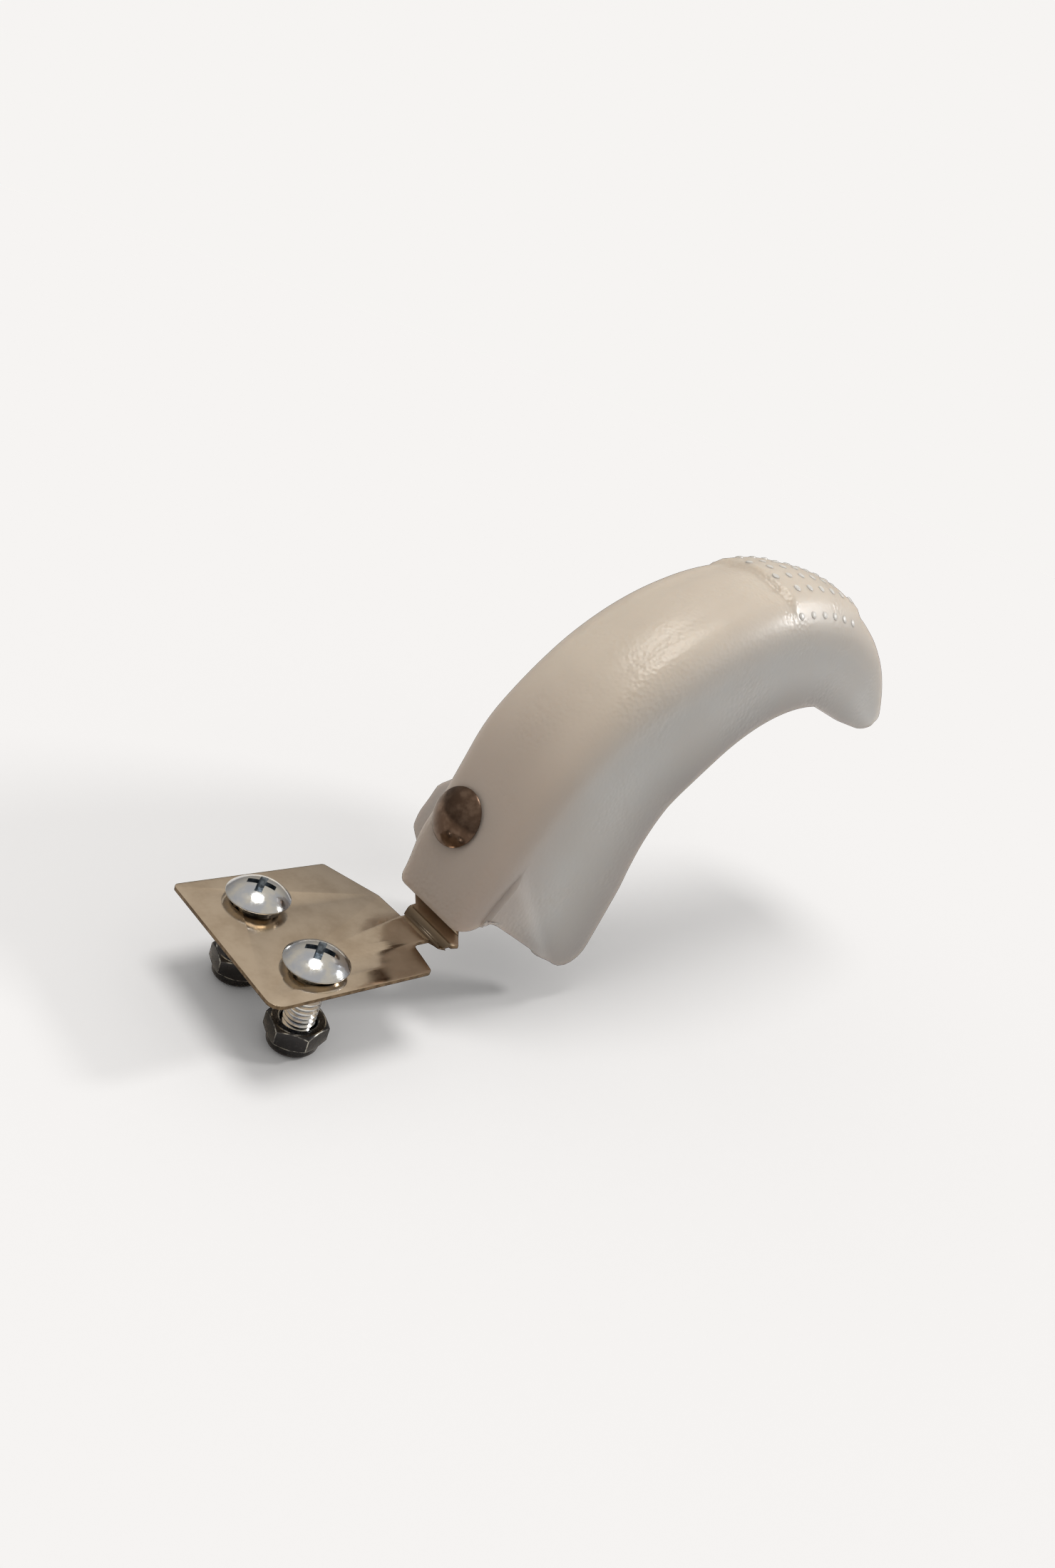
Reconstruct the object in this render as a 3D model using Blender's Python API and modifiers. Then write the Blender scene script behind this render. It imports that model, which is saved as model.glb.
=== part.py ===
"""Rear fender brake of a small kick scooter.

A moulded plastic fender is riveted to a spring steel leaf. The leaf grows out of a flat
mounting plate, which two machine screws and lock nuts clamp to the scooter's deck. A foot
on the fender bends the leaf at the edge of the plate, and the fender rubs on the wheel.

Frame: +X runs back towards the wheel, +Y to the left, +Z up. The origin is the middle of
the plate's underside, between the two screw holes. All dimensions below are in mm.
"""

import math

import bmesh
import bpy
from mathutils import Matrix, Vector

MM = 0.001
GAP = 0.3                # clearance between pieces that touch on the real brake
MERGE = 1e-6             # metres, for points that coincide

# Mounting plate
PLATE_THICK = 0.7
PLATE_LEFT = 18.1
PLATE_RIGHT = -17.4
PLATE_FRONT = -12.5      # front edge, ahead of the line of the holes
BEND_X = 26.3            # where the leaf bends up out of the plate
HOLE_SPACING = 20.0
HOLE_RADIUS = 3.3

# Spring leaf
LEAF_THICK = 0.7
LEAF_RIGHT = (-12.3, -12.6, -13.2, -13.8, -14.3, -12.0)    # y, row by row from the bend
LEAF_LEFT = (-0.6, -0.6, -0.6, -0.6, -0.6, 2.0)
LEG_RIGHT = -9.6         # y of the leg's edges behind the tongue
LEG_LEFT = 4.6
LEG_STOPS = (1.6, 3.2, 6.0, 9.5, 13.0, 16.6, 20.5, 23.5)   # heights along the tongue
LEG_ROUND = (0.0, 1.2, 4.5)    # how much the leg's last rows draw in to round its top
JOGGLE = ((0.3, 0.0), (0.45, 0.45), (0.75, 1.35), (1.15, 1.75))   # from the plate's top edge
FOOT_LEAD = ((-2.6, 1.95), (-0.9, 2.25))    # the same, with x from the leg's lowest point

# Fender
FENDER_Y = -2.6          # middle plane of the fender
WALL = 2.2
TONGUE_X = 28.5          # lower end of the tongue, on its outer face
TONGUE_Z = 4.3
TONGUE_SLOPE = 73.0      # degrees above horizontal
TONGUE_LENGTH = 30.0
ARCS = ((40.0, 58.0), (10.0, 75.5), (-15.0, 66.0), (-51.5, 46.0), (-56.7, 100.0))
HALF_WIDTH = {
    "right": ((0.0, 11.6), (16.0, 12.4), (40.0, 13.6), (75.0, 15.0), (175.0, 14.6)),
    "left": ((0.0, 10.2), (12.0, 12.2), (40.0, 13.8), (75.0, 15.0), (175.0, 14.6)),
}
CORNER = ((0.0, 3.6), (30.0, 6.0), (75.0, 9.0), (135.0, 9.0), (169.0, 6.0))
CROWN = ((0.0, 0.0), (22.0, 0.0), (55.0, 1.0))
FLARE = 0.045            # outward lean of the skirts, mm per mm of depth
TONGUE_RISE = {"right": 2.8, "left": 5.0}    # how far the lower edge rises round its corners
RISE_END = 16.0
SKIRT_STEP = {           # how far a skirt's front stands out from the tongue's side
    "right": ((0.0, 0.4), (4.0, 1.0), (12.0, 1.0), (18.0, 0.0)),
    "left": ((0.0, 0.4), (7.0, 4.9), (18.0, 4.9), (23.0, 1.6), (45.0, 0.0)),
}
STEP_SETTLE = {"right": 0.0, "left": 0.75}   # how much of the step is gone at the lower edge
STEP_RUN = 1.2           # depth over which the step rises
PAD_START = 101.5        # raised tread, measured along the fender's middle line
PAD_END = 133.5
PAD_RAISE = 1.3
PAD_EDGE = 1.2
PAD_REACH = 50.0         # degrees round the corner that the tread covers
PAD_FADE = 6.0           # degrees

# Side outline of a skirt's lower edge
LOBE_FRONT = (33.9, 7.9)
LOBE_CORNER = (64.2, -10.8)
LOBE_RADIUS = 5.0
ARCH_CENTRE = (108.9, 12.3)
ARCH_RADIUS = 41.5
ARCH_FROM = 180.0
ARCH_TO = 88.0
TAIL_DIP = (124.5, 49.7)
TAIL_END = (141.0, 46.2)
FAN_TO = 48.0            # up to here the sections fan out round the lobe

# Fasteners
RIVET_Y = 1.0
RIVET_S = 17.4           # rivet's height along the tongue
RIVET_HEAD_RADIUS = 6.0
RIVET_HEAD_HEIGHT = 2.4
RIVET_HEAD_BAND = 0.4
RIVET_SHANK_RADIUS = 2.5
RIVET_HOLE_RADIUS = 2.8
RIVET_TAIL_RADIUS = 4.2
RIVET_TAIL_HEIGHT = 1.4
WASHER_RADIUS = 5.5
WASHER_THICK = 1.0
SCREW_RADIUS = 3.0
SCREW_HEAD_RADIUS = 6.0
SCREW_HEAD_DOME = 2.6
SCREW_HEAD_RIM = 1.2     # height of the widest part above the seat
SCREW_RIM_BAND = 0.3
SCREW_SEAT_RADIUS = 4.9
SCREW_END_Z = -15.9
RECESS_REACH = 3.5
RECESS_WIDTH = 1.5
RECESS_DEPTH = 2.2
RECESS_TURN = 45.0       # degrees
NUT_TOP_Z = -10.3
NUT_ACROSS_FLATS = 10.0
NUT_HEX_HEIGHT = 3.7
NUT_TURN = 47.0          # degrees
NUT_CHAMFER = 30.0       # degrees
COLLAR_RADIUS = 4.7
COLLAR_HEIGHT = 1.7
COLLAR_LIP = 0.5
COLLAR_ROUND = 0.7
RING_RADIUS = 3.9
RING_THICK = 1.0

PIVOT = Vector((BEND_X + GAP / 2, 0.0, PLATE_THICK / 2))
FASTENER_Y = {"left": HOLE_SPACING / 2, "right": -HOLE_SPACING / 2}
PARTS = "scooter_fender_brake"
CUTTERS = "cutters"


def clear_scene():
    for obj in list(bpy.data.objects):
        bpy.data.objects.remove(obj, do_unlink=True)
    for name in (PARTS, CUTTERS):
        collection = bpy.data.collections.get(name) or bpy.data.collections.new(name)
        if name not in bpy.context.scene.collection.children:
            bpy.context.scene.collection.children.link(collection)


def material(name, colour, roughness, metallic):
    mat = bpy.data.materials.new(name)
    mat.use_nodes = True
    shader = mat.node_tree.nodes["Principled BSDF"]
    shader.inputs["Base Color"].default_value = (*colour, 1.0)
    shader.inputs["Roughness"].default_value = roughness
    shader.inputs["Metallic"].default_value = metallic
    return mat


def add_pivot():
    """The empty that carries the pieces a foot moves, on the bend at the plate's edge."""
    pivot = bpy.data.objects.new("brake_pivot", None)
    pivot.location = PIVOT * MM
    bpy.data.collections[PARTS].objects.link(pivot)
    return pivot


def in_metres(matrix):
    """The same placement with its position turned from mm to metres."""
    scaled = matrix.copy()
    scaled.translation *= MM
    return scaled


def place(obj, mat, matrix, pivot):
    """Add a part at a matrix in mm, under the pivot if it moves."""
    obj.data.materials.append(mat)
    bpy.data.collections[PARTS].objects.link(obj)
    local = matrix.copy()
    if pivot is not None:
        obj.parent = pivot
        local.translation -= PIVOT
    obj.matrix_local = in_metres(local)
    return obj


def mesh_object(name, bm, smooth_angle=30.0):
    """A new object from a bmesh in mm."""
    bmesh.ops.scale(bm, verts=bm.verts, vec=(MM, MM, MM))
    mesh = bpy.data.meshes.new(name)
    bm.to_mesh(mesh)
    bm.free()
    mesh.shade_smooth()
    mesh.set_sharp_from_angle(angle=math.radians(smooth_angle))
    return bpy.data.objects.new(name, mesh)


def turned_object(name, profile, steps):
    """A profile of (radius, height) points in mm, turned about local Z by a Screw modifier.

    The points run down the outer side. A profile that starts off the axis is a closed ring.
    """
    edges = [(i, i + 1) for i in range(len(profile) - 1)]
    if profile[0][0] > 0.0:
        edges.append((len(profile) - 1, 0))
    mesh = bpy.data.meshes.new(name)
    mesh.from_pydata([(radius * MM, 0.0, height * MM) for radius, height in profile], edges, [])
    obj = bpy.data.objects.new(name, mesh)
    screw = obj.modifiers.new("turn", "SCREW")
    screw.axis = "Z"
    screw.steps = steps
    screw.render_steps = steps
    screw.use_merge_vertices = True
    screw.merge_threshold = MERGE
    return obj


def add_cutter(obj, matrix):
    obj.matrix_world = in_metres(matrix)
    obj.hide_render = True
    obj.display_type = "WIRE"
    bpy.data.collections[CUTTERS].objects.link(obj)
    return obj


def combine(obj, cutter, operation="DIFFERENCE"):
    modifier = obj.modifiers.new(cutter.name, "BOOLEAN")
    modifier.operation = operation
    modifier.solver = "EXACT"
    modifier.object = cutter


def cylinder(radius, low, high, sides):
    """A closed prism or cylinder along local Z, from low to high."""
    bm = bmesh.new()
    middle = Matrix.Translation((0.0, 0.0, (low + high) / 2))
    bmesh.ops.create_cone(
        bm, cap_ends=True, segments=sides, radius1=radius, radius2=radius, depth=high - low,
        matrix=middle,
    )
    return bm


def fillet(before, corner, after, radius, steps):
    """Points of an arc that rounds a corner of an outline."""
    start = Vector(before) - Vector(corner)
    end = Vector(after) - Vector(corner)
    half = start.angle(end) / 2
    reach = min(radius / math.tan(half), 0.49 * start.length, 0.49 * end.length)
    radius = reach * math.tan(half)
    middle = (start.normalized() + end.normalized()).normalized()
    centre = Vector(corner) + middle * (radius / math.sin(half))
    first = Vector(corner) + start.normalized() * reach - centre
    last = Vector(corner) + end.normalized() * reach - centre
    return [tuple(centre + first.slerp(last, i / steps) * radius) for i in range(steps + 1)]


def rounded(corners, steps=4):
    """A closed outline from (x, y, radius) corners."""
    points = []
    for i, (x, y, radius) in enumerate(corners):
        before = corners[i - 1][:2]
        after = corners[(i + 1) % len(corners)][:2]
        if radius > 0.0:
            points += fillet(before, (x, y), after, radius, steps)
        else:
            points.append((x, y))
    return points


def ease(t):
    t = max(0.0, min(1.0, t))
    return t * t * (3.0 - 2.0 * t)


def table(pairs, position):
    """Read a value from a table of (position, value) pairs, eased between its entries."""
    for (p0, v0), (p1, v1) in zip(pairs, pairs[1:]):
        if position <= p1:
            return v0 + (v1 - v0) * ease((position - p0) / (p1 - p0))
    return pairs[-1][1]


# The fender's middle line

def line_length():
    total = TONGUE_LENGTH
    angle = TONGUE_SLOPE
    for end, radius in ARCS:
        total += radius * math.radians(angle - end)
        angle = end
    return total


def line_point(s):
    """Point (x, z) and slope in radians at a distance s along the fender's middle line."""
    slope = math.radians(TONGUE_SLOPE)
    run = min(s, TONGUE_LENGTH)
    x = TONGUE_X + run * math.cos(slope)
    z = TONGUE_Z + run * math.sin(slope)
    left = s - run
    for end, radius in ARCS:
        if left <= 0.0:
            break
        run = min(left, radius * (slope - math.radians(end)))
        turned = slope - run / radius
        x += radius * (math.sin(slope) - math.sin(turned))
        z += radius * (math.cos(turned) - math.cos(slope))
        slope = turned
        left -= run
    return x, z, slope


def polar(centre, radius, degrees):
    angle = math.radians(degrees)
    return centre[0] + radius * math.cos(angle), centre[1] + radius * math.sin(angle)


def skirt_outline():
    """The lower edge of a skirt seen from the side, from the front lobe to the tail."""
    steps = 14
    turns = [ARCH_FROM + (ARCH_TO - ARCH_FROM) * i / steps for i in range(steps + 1)]
    arch = [polar(ARCH_CENTRE, ARCH_RADIUS, turn) for turn in turns]
    lobe = fillet(LOBE_FRONT, LOBE_CORNER, arch[0], LOBE_RADIUS, 6)
    return [LOBE_FRONT] + lobe + arch + [TAIL_DIP, TAIL_END]


def along(points, distance):
    """The point at a distance along an open outline."""
    for a, b in zip(points, points[1:]):
        length = math.dist(a, b)
        if distance <= length:
            t = distance / length
            return a[0] + (b[0] - a[0]) * t, a[1] + (b[1] - a[1]) * t
        distance -= length
    return points[-1]


def reach_outline(points, x, z, dx, dz):
    """How far along an outline the line from (x, z) towards (dx, dz) first meets it."""
    travelled = 0.0
    nearest = math.inf
    found = 0.0
    for a, b in zip(points, points[1:]):
        length = math.dist(a, b)
        ex, ez = b[0] - a[0], b[1] - a[1]
        det = dx * ez - dz * ex
        if abs(det) > 1e-9:
            forward = ((a[0] - x) * ez - (a[1] - z) * ex) / det
            part = ((a[0] - x) * dz - (a[1] - z) * dx) / det
            if 0.0 < forward < nearest and 0.0 <= part <= 1.0:
                nearest = forward
                found = travelled + part * length
        travelled += length
    return found


def pad_height(s, turn):
    """Height of the raised tread, at a turn in degrees round the corner."""
    near = min((s - PAD_START) / PAD_EDGE, (PAD_END - s) / PAD_EDGE, (PAD_REACH - turn) / PAD_FADE)
    return PAD_RAISE * max(0.0, min(1.0, near))


def normal_from(s):
    """A line's start and direction, from the end of the corner at s straight inwards."""
    x, z, slope = line_point(s)
    sink = table(CROWN, s) + table(CORNER, s)
    dx, dz = math.sin(slope), -math.cos(slope)
    return x + sink * dx, z + sink * dz, dx, dz


def skirt_end(s, outline):
    """Where the skirt's section that starts at s ends on its lower edge."""
    distance = reach_outline(outline, *normal_from(max(FAN_TO, s)))
    return along(outline, distance * min(1.0, s / FAN_TO))


def half_section(s, side, outline, skirt_steps):
    """Points (x, offset from the middle plane, z) across one half, from crown to skirt edge."""
    x, z, slope = line_point(s)
    width = table(HALF_WIDTH[side], s)
    corner = table(CORNER, s)
    crown = table(CROWN, s)
    points = []
    for i in range(4):
        sink = crown * (i / 4) ** 2 - pad_height(s, 0.0)
        across = (width - corner) * i / 4
        points.append((x + sink * math.sin(slope), across, z - sink * math.cos(slope)))
    rise = TONGUE_RISE[side] * max(0.0, 1.0 - s / RISE_END)
    for i in range(5):
        turn = 22.5 * i
        x, z, slope = line_point(s + rise * (i / 4) ** 2)
        reach = corner + pad_height(s, turn)
        sink = crown + corner - reach * math.cos(math.radians(turn))
        across = width - corner + reach * math.sin(math.radians(turn))
        points.append((x + sink * math.sin(slope), across, z - sink * math.cos(slope)))
    x, across, z = points[-1]
    end_x, end_z = skirt_end(s, outline)
    depth = math.dist((x, z), (end_x, end_z))
    step = table(SKIRT_STEP[side], s)
    start = min(0.5, STEP_RUN / depth)
    for i in range(skirt_steps + 1):
        t = start + (1.0 - start) * i / skirt_steps
        out = step * (1.0 - STEP_SETTLE[side] * ease(t)) + FLARE * depth * t
        points.append((x + (end_x - x) * t, across + out, z + (end_z - z) * t))
    return points


def spaced(start, end, count):
    return [start + (end - start) * i / count for i in range(1, count + 1)]


def fender(mat, pivot, hole):
    """A lofted U-shaped sheet, thickened inwards."""
    outline = skirt_outline()
    stops = [0.0] + spaced(0.0, TONGUE_LENGTH, 10)
    stops += spaced(TONGUE_LENGTH, PAD_START, 14)
    stops += [PAD_START + PAD_EDGE]
    stops += spaced(PAD_START + PAD_EDGE, PAD_END - PAD_EDGE, 5)
    stops += [PAD_END] + spaced(PAD_END, line_length(), 6)
    bm = bmesh.new()
    rows = []
    for s in stops:
        right = half_section(s, "right", outline, 5)
        left = half_section(s, "left", outline, 5)
        row = [(x, FENDER_Y - offset, z) for x, offset, z in reversed(right)]
        row += [(x, FENDER_Y + offset, z) for x, offset, z in left[1:]]
        rows.append([bm.verts.new(Vector(point) - PIVOT) for point in row])
    for one, two in zip(rows, rows[1:]):
        for i in range(len(one) - 1):
            bm.faces.new((one[i], two[i], two[i + 1], one[i + 1]))
    obj = place(mesh_object("fender", bm), mat, Matrix.Translation(PIVOT), pivot)
    wall = obj.modifiers.new("wall", "SOLIDIFY")
    wall.thickness = WALL * MM
    wall.offset = -1.0
    combine(obj, hole)


# Steel pieces

def mounting_plate(mat):
    """A flat outline with two screw holes and a narrow neck at the bend."""
    corners = (
        (PLATE_FRONT, PLATE_LEFT, 1.0), (PLATE_FRONT, PLATE_RIGHT, 2.6), (20.7, PLATE_RIGHT, 1.0),
        (21.5, -13.4, 1.6), (22.2, -9.2, 2.2), (BEND_X, -9.2, 0.0), (BEND_X, -1.2, 0.0),
        (25.3, -1.2, 0.3), (24.9, 5.8, 2.0), (19.7, PLATE_LEFT, 0.8),
    )
    loops = [rounded(corners)]
    for y in FASTENER_Y.values():
        loops.append([polar((0.0, y), HOLE_RADIUS, 360.0 * i / 32) for i in range(32)])
    curve = bpy.data.curves.new("mounting_plate", "CURVE")
    curve.dimensions = "2D"
    curve.fill_mode = "BOTH"
    curve.extrude = PLATE_THICK / 2 * MM
    for loop in loops:
        spline = curve.splines.new("POLY")
        spline.points.add(len(loop) - 1)
        for point, (x, y) in zip(spline.points, loop):
            point.co = (x * MM, y * MM, 0.0, 1.0)
        spline.use_cyclic_u = True
    obj = bpy.data.objects.new("mounting_plate", curve)
    place(obj, mat, Matrix.Translation((0.0, 0.0, PLATE_THICK / 2)), None)


def leaf_line():
    """Side view of the leaf's upper face: a small joggle at the bend, then the leg."""
    slope = math.radians(TONGUE_SLOPE)
    inset = WALL + GAP
    leg = [line_point(s)[:2] for s in LEG_STOPS]
    leg = [(x + inset * math.sin(slope), z - inset * math.cos(slope)) for x, z in leg]
    joggle = [(BEND_X + x, PLATE_THICK + z) for x, z in JOGGLE]
    lead = [(leg[0][0] + x, PLATE_THICK + z) for x, z in FOOT_LEAD]
    return joggle + lead + leg


def spring_leaf(mat, pivot, hole):
    """A strip that widens behind the tongue and ends round above the rivet."""
    line = leaf_line()
    bm = bmesh.new()
    rows = []
    for i, (x, z) in enumerate(line):
        draw_in = LEG_ROUND[max(0, i - (len(line) - len(LEG_ROUND)))]
        right, left = LEG_RIGHT + draw_in, LEG_LEFT - draw_in
        if i < len(LEAF_RIGHT):
            right, left = LEAF_RIGHT[i], LEAF_LEFT[i]
        points = [Vector((x, right + (left - right) * j / 6, z)) for j in range(7)]
        rows.append([bm.verts.new(point - PIVOT) for point in points])
    for one, two in zip(rows, rows[1:]):
        for j in range(len(one) - 1):
            bm.faces.new((one[j], two[j], two[j + 1], one[j + 1]))
    obj = place(mesh_object("spring_leaf", bm), mat, Matrix.Translation(PIVOT), pivot)
    sheet = obj.modifiers.new("sheet", "SOLIDIFY")
    sheet.thickness = LEAF_THICK * MM
    sheet.offset = -1.0
    sheet.use_even_offset = True
    combine(obj, hole)


# Fasteners

def dome(radius, height, base, steps):
    """Profile of a spherical cap that stands on base, from its top down to its rim."""
    sphere = (radius * radius + height * height) / (2.0 * height)
    edge = math.asin(min(1.0, radius / sphere))
    points = [(0.0, base + height)]
    for i in range(1, steps + 1):
        angle = edge * i / steps
        points.append((sphere * math.sin(angle), base + height - sphere * (1.0 - math.cos(angle))))
    return points


def rivet_frame():
    """Matrix with local Z pointing out of the tongue's face at the rivet."""
    x, z, slope = line_point(RIVET_S)
    outward = Vector((-math.sin(slope), 0.0, math.cos(slope)))
    sideways = Vector((0.0, 1.0, 0.0))
    matrix = Matrix((sideways.cross(outward), sideways, outward)).transposed().to_4x4()
    matrix.translation = (x, RIVET_Y, z)
    return matrix


def rivet(mat, pivot):
    """One solid: domed head outside, shank, and the tail formed over the washer."""
    back = -(WALL + GAP + LEAF_THICK + GAP + WASHER_THICK + GAP)
    head = dome(RIVET_HEAD_RADIUS, RIVET_HEAD_HEIGHT - RIVET_HEAD_BAND, GAP + RIVET_HEAD_BAND, 6)
    end = back - RIVET_TAIL_HEIGHT
    profile = head + [
        (RIVET_HEAD_RADIUS - 0.2, GAP), (RIVET_SHANK_RADIUS, GAP), (RIVET_SHANK_RADIUS, back),
        (RIVET_TAIL_RADIUS, back), (RIVET_TAIL_RADIUS, back - 0.6), (RIVET_TAIL_RADIUS * 0.6, end),
        (0.0, end),
    ]
    place(turned_object("rivet", profile, 40), mat, rivet_frame(), pivot)


def ring_profile(inner, outer, low, high):
    return [(inner, high), (outer, high), (outer, low), (inner, low)]


def rivet_washer(mat, pivot):
    high = -(WALL + GAP + LEAF_THICK + GAP)
    profile = ring_profile(RIVET_SHANK_RADIUS + GAP, WASHER_RADIUS, high - WASHER_THICK, high)
    place(turned_object("rivet_washer", profile, 32), mat, rivet_frame(), pivot)


def rivet_hole():
    drill = mesh_object("rivet_hole", cylinder(RIVET_HOLE_RADIUS, -9.0, 4.0, 24))
    return add_cutter(drill, rivet_frame())


def machine_screw(side, mat):
    """Pan head with a cross recess on a plain shank of the thread's outer size."""
    seat = PLATE_THICK + GAP
    rim = seat + SCREW_HEAD_RIM
    profile = dome(SCREW_HEAD_RADIUS, SCREW_HEAD_DOME, rim, 6) + [
        (SCREW_HEAD_RADIUS, rim - SCREW_RIM_BAND), (SCREW_SEAT_RADIUS, seat), (SCREW_RADIUS, seat),
        (SCREW_RADIUS, SCREW_END_Z + 0.6), (SCREW_RADIUS - 0.5, SCREW_END_Z), (0.0, SCREW_END_Z),
    ]
    name = "screw_" + side
    centre = Matrix.Translation((0.0, FASTENER_Y[side], 0.0))
    obj = place(turned_object(name, profile, 40), mat, centre, None)
    top = Matrix.Translation((0.0, 0.0, rim + SCREW_HEAD_DOME))
    for slot in range(2):
        turn = Matrix.Rotation(math.radians(RECESS_TURN + 90.0 * slot), 4, "Z")
        arm = mesh_object("%s_recess_%d" % (name, slot), recess_arm())
        combine(obj, add_cutter(arm, centre @ top @ turn))


def recess_arm():
    """One tapered slot of the cross recess, downwards from the top of the head."""
    bm = bmesh.new()
    bmesh.ops.create_cube(bm, size=2.0)
    for vert in bm.verts:
        low = vert.co.z < 0.0
        vert.co.x *= RECESS_REACH * (0.45 if low else 1.0)
        vert.co.y *= RECESS_WIDTH / 2 * (0.8 if low else 1.0)
        vert.co.z = -RECESS_DEPTH if low else 1.0
    return bm


def lock_nut(side, mat):
    """Hexagon with a round collar below it that holds the nylon ring."""
    name = "lock_nut_" + side
    centre = Matrix.Translation((0.0, FASTENER_Y[side], 0.0))
    hex_low = NUT_TOP_Z - NUT_HEX_HEIGHT
    low = hex_low - COLLAR_HEIGHT
    corner = NUT_ACROSS_FLATS / math.sqrt(3.0)
    prism = mesh_object(name, cylinder(corner, low, NUT_TOP_Z, 6))
    turn = Matrix.Rotation(math.radians(NUT_TURN), 4, "Z")
    obj = place(prism, mat, centre @ turn, None)
    bore = SCREW_RADIUS + GAP
    rim = NUT_ACROSS_FLATS / 2 - 0.2
    beyond = corner + 1.0
    slant = math.tan(math.radians(NUT_CHAMFER))
    envelope = [
        (bore, NUT_TOP_Z), (rim, NUT_TOP_Z), (beyond, NUT_TOP_Z - (beyond - rim) * slant),
        (beyond, hex_low + (beyond - COLLAR_RADIUS) * slant), (COLLAR_RADIUS, hex_low),
        (COLLAR_RADIUS, low + COLLAR_ROUND), (COLLAR_RADIUS - COLLAR_ROUND, low), (bore, low),
    ]
    combine(obj, add_cutter(turned_object(name + "_envelope", envelope, 36), centre), "INTERSECT")
    groove_low = low + COLLAR_LIP
    groove = cylinder(RING_RADIUS + GAP, groove_low, groove_low + RING_THICK + 2 * GAP, 36)
    combine(obj, add_cutter(mesh_object(name + "_groove", groove), centre))


def nylon_ring(side, mat):
    """The ring that grips the thread, held inside the nut's collar."""
    low = NUT_TOP_Z - NUT_HEX_HEIGHT - COLLAR_HEIGHT + COLLAR_LIP + GAP
    profile = ring_profile(SCREW_RADIUS + GAP, RING_RADIUS, low, low + RING_THICK)
    centre = Matrix.Translation((0.0, FASTENER_Y[side], 0.0))
    place(turned_object("nylon_ring_" + side, profile, 32), mat, centre, None)


def build():
    clear_scene()
    plastic = material("milky_polypropylene", (0.42, 0.41, 0.38), 0.42, 0.0)
    spring_steel = material("spring_steel", (0.27, 0.22, 0.16), 0.30, 1.0)
    bronze = material("bronzed_rivet_steel", (0.05, 0.032, 0.02), 0.28, 1.0)
    zinc = material("bright_zinc", (0.62, 0.61, 0.58), 0.16, 1.0)
    black = material("black_zinc", (0.012, 0.012, 0.012), 0.35, 1.0)
    nylon = material("nylon", (0.35, 0.36, 0.38), 0.45, 0.0)
    pivot = add_pivot()
    hole = rivet_hole()
    mounting_plate(spring_steel)
    spring_leaf(spring_steel, pivot, hole)
    fender(plastic, pivot, hole)
    rivet(bronze, pivot)
    rivet_washer(zinc, pivot)
    for side in FASTENER_Y:
        machine_screw(side, zinc)
        lock_nut(side, black)
        nylon_ring(side, nylon)


build()
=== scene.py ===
"""Looks of a kick scooter's rear fender brake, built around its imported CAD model.

A milky moulded fender is riveted to one bent piece of spring steel, which two machine screws
and lock nuts hold to the scooter's deck. Each piece here stands for one or more CAD nodes.

Frame: +X runs back towards the wheel, +Y to the left, +Z up, in metres. The origin is the
middle of the plate's underside, between the two screws. Sizes below are in mm where a name
doesn't say otherwise, and MM turns them to metres.
"""

import math

import bmesh
import bpy
from mathutils import Matrix, Quaternion, Vector
from mathutils.bvhtree import BVHTree
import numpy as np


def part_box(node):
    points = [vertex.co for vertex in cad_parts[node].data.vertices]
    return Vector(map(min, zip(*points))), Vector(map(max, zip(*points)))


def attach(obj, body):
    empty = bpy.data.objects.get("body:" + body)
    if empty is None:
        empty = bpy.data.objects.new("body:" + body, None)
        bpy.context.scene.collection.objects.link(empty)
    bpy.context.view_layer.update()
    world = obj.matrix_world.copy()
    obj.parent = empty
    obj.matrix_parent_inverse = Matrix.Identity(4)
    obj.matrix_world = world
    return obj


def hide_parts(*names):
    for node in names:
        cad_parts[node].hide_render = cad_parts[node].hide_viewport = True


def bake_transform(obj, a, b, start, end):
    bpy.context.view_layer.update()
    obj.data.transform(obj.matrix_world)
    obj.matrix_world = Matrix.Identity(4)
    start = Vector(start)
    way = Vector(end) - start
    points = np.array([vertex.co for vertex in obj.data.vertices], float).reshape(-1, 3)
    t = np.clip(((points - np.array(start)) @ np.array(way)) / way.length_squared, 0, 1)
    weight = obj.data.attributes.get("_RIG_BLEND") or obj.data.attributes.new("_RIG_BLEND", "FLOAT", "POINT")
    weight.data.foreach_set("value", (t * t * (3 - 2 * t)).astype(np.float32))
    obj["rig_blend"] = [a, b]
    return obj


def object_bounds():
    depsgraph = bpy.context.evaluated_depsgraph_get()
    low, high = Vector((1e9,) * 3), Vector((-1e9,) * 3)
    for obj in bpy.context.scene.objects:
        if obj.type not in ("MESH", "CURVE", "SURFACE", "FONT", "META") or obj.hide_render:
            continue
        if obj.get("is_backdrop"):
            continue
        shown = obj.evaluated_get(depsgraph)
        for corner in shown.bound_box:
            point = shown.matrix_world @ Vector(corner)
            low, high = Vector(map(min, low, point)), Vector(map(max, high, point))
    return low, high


bl_info = {
    "name": "Scooter Fender Brake",
    "version": (1, 0, 0),
    "blender": (4, 5, 0),
    "location": "3D View > Sidebar > Fender Brake",
    "description": "Detailed pieces and finishes for a kick scooter's rear fender brake",
    "category": "Add Mesh",
}

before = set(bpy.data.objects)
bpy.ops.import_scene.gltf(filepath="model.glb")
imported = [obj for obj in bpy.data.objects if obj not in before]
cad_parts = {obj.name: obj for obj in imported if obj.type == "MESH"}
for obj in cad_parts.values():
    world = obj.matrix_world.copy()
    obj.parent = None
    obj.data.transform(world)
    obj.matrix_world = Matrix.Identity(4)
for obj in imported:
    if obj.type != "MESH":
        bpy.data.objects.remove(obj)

MM = 0.001

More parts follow.
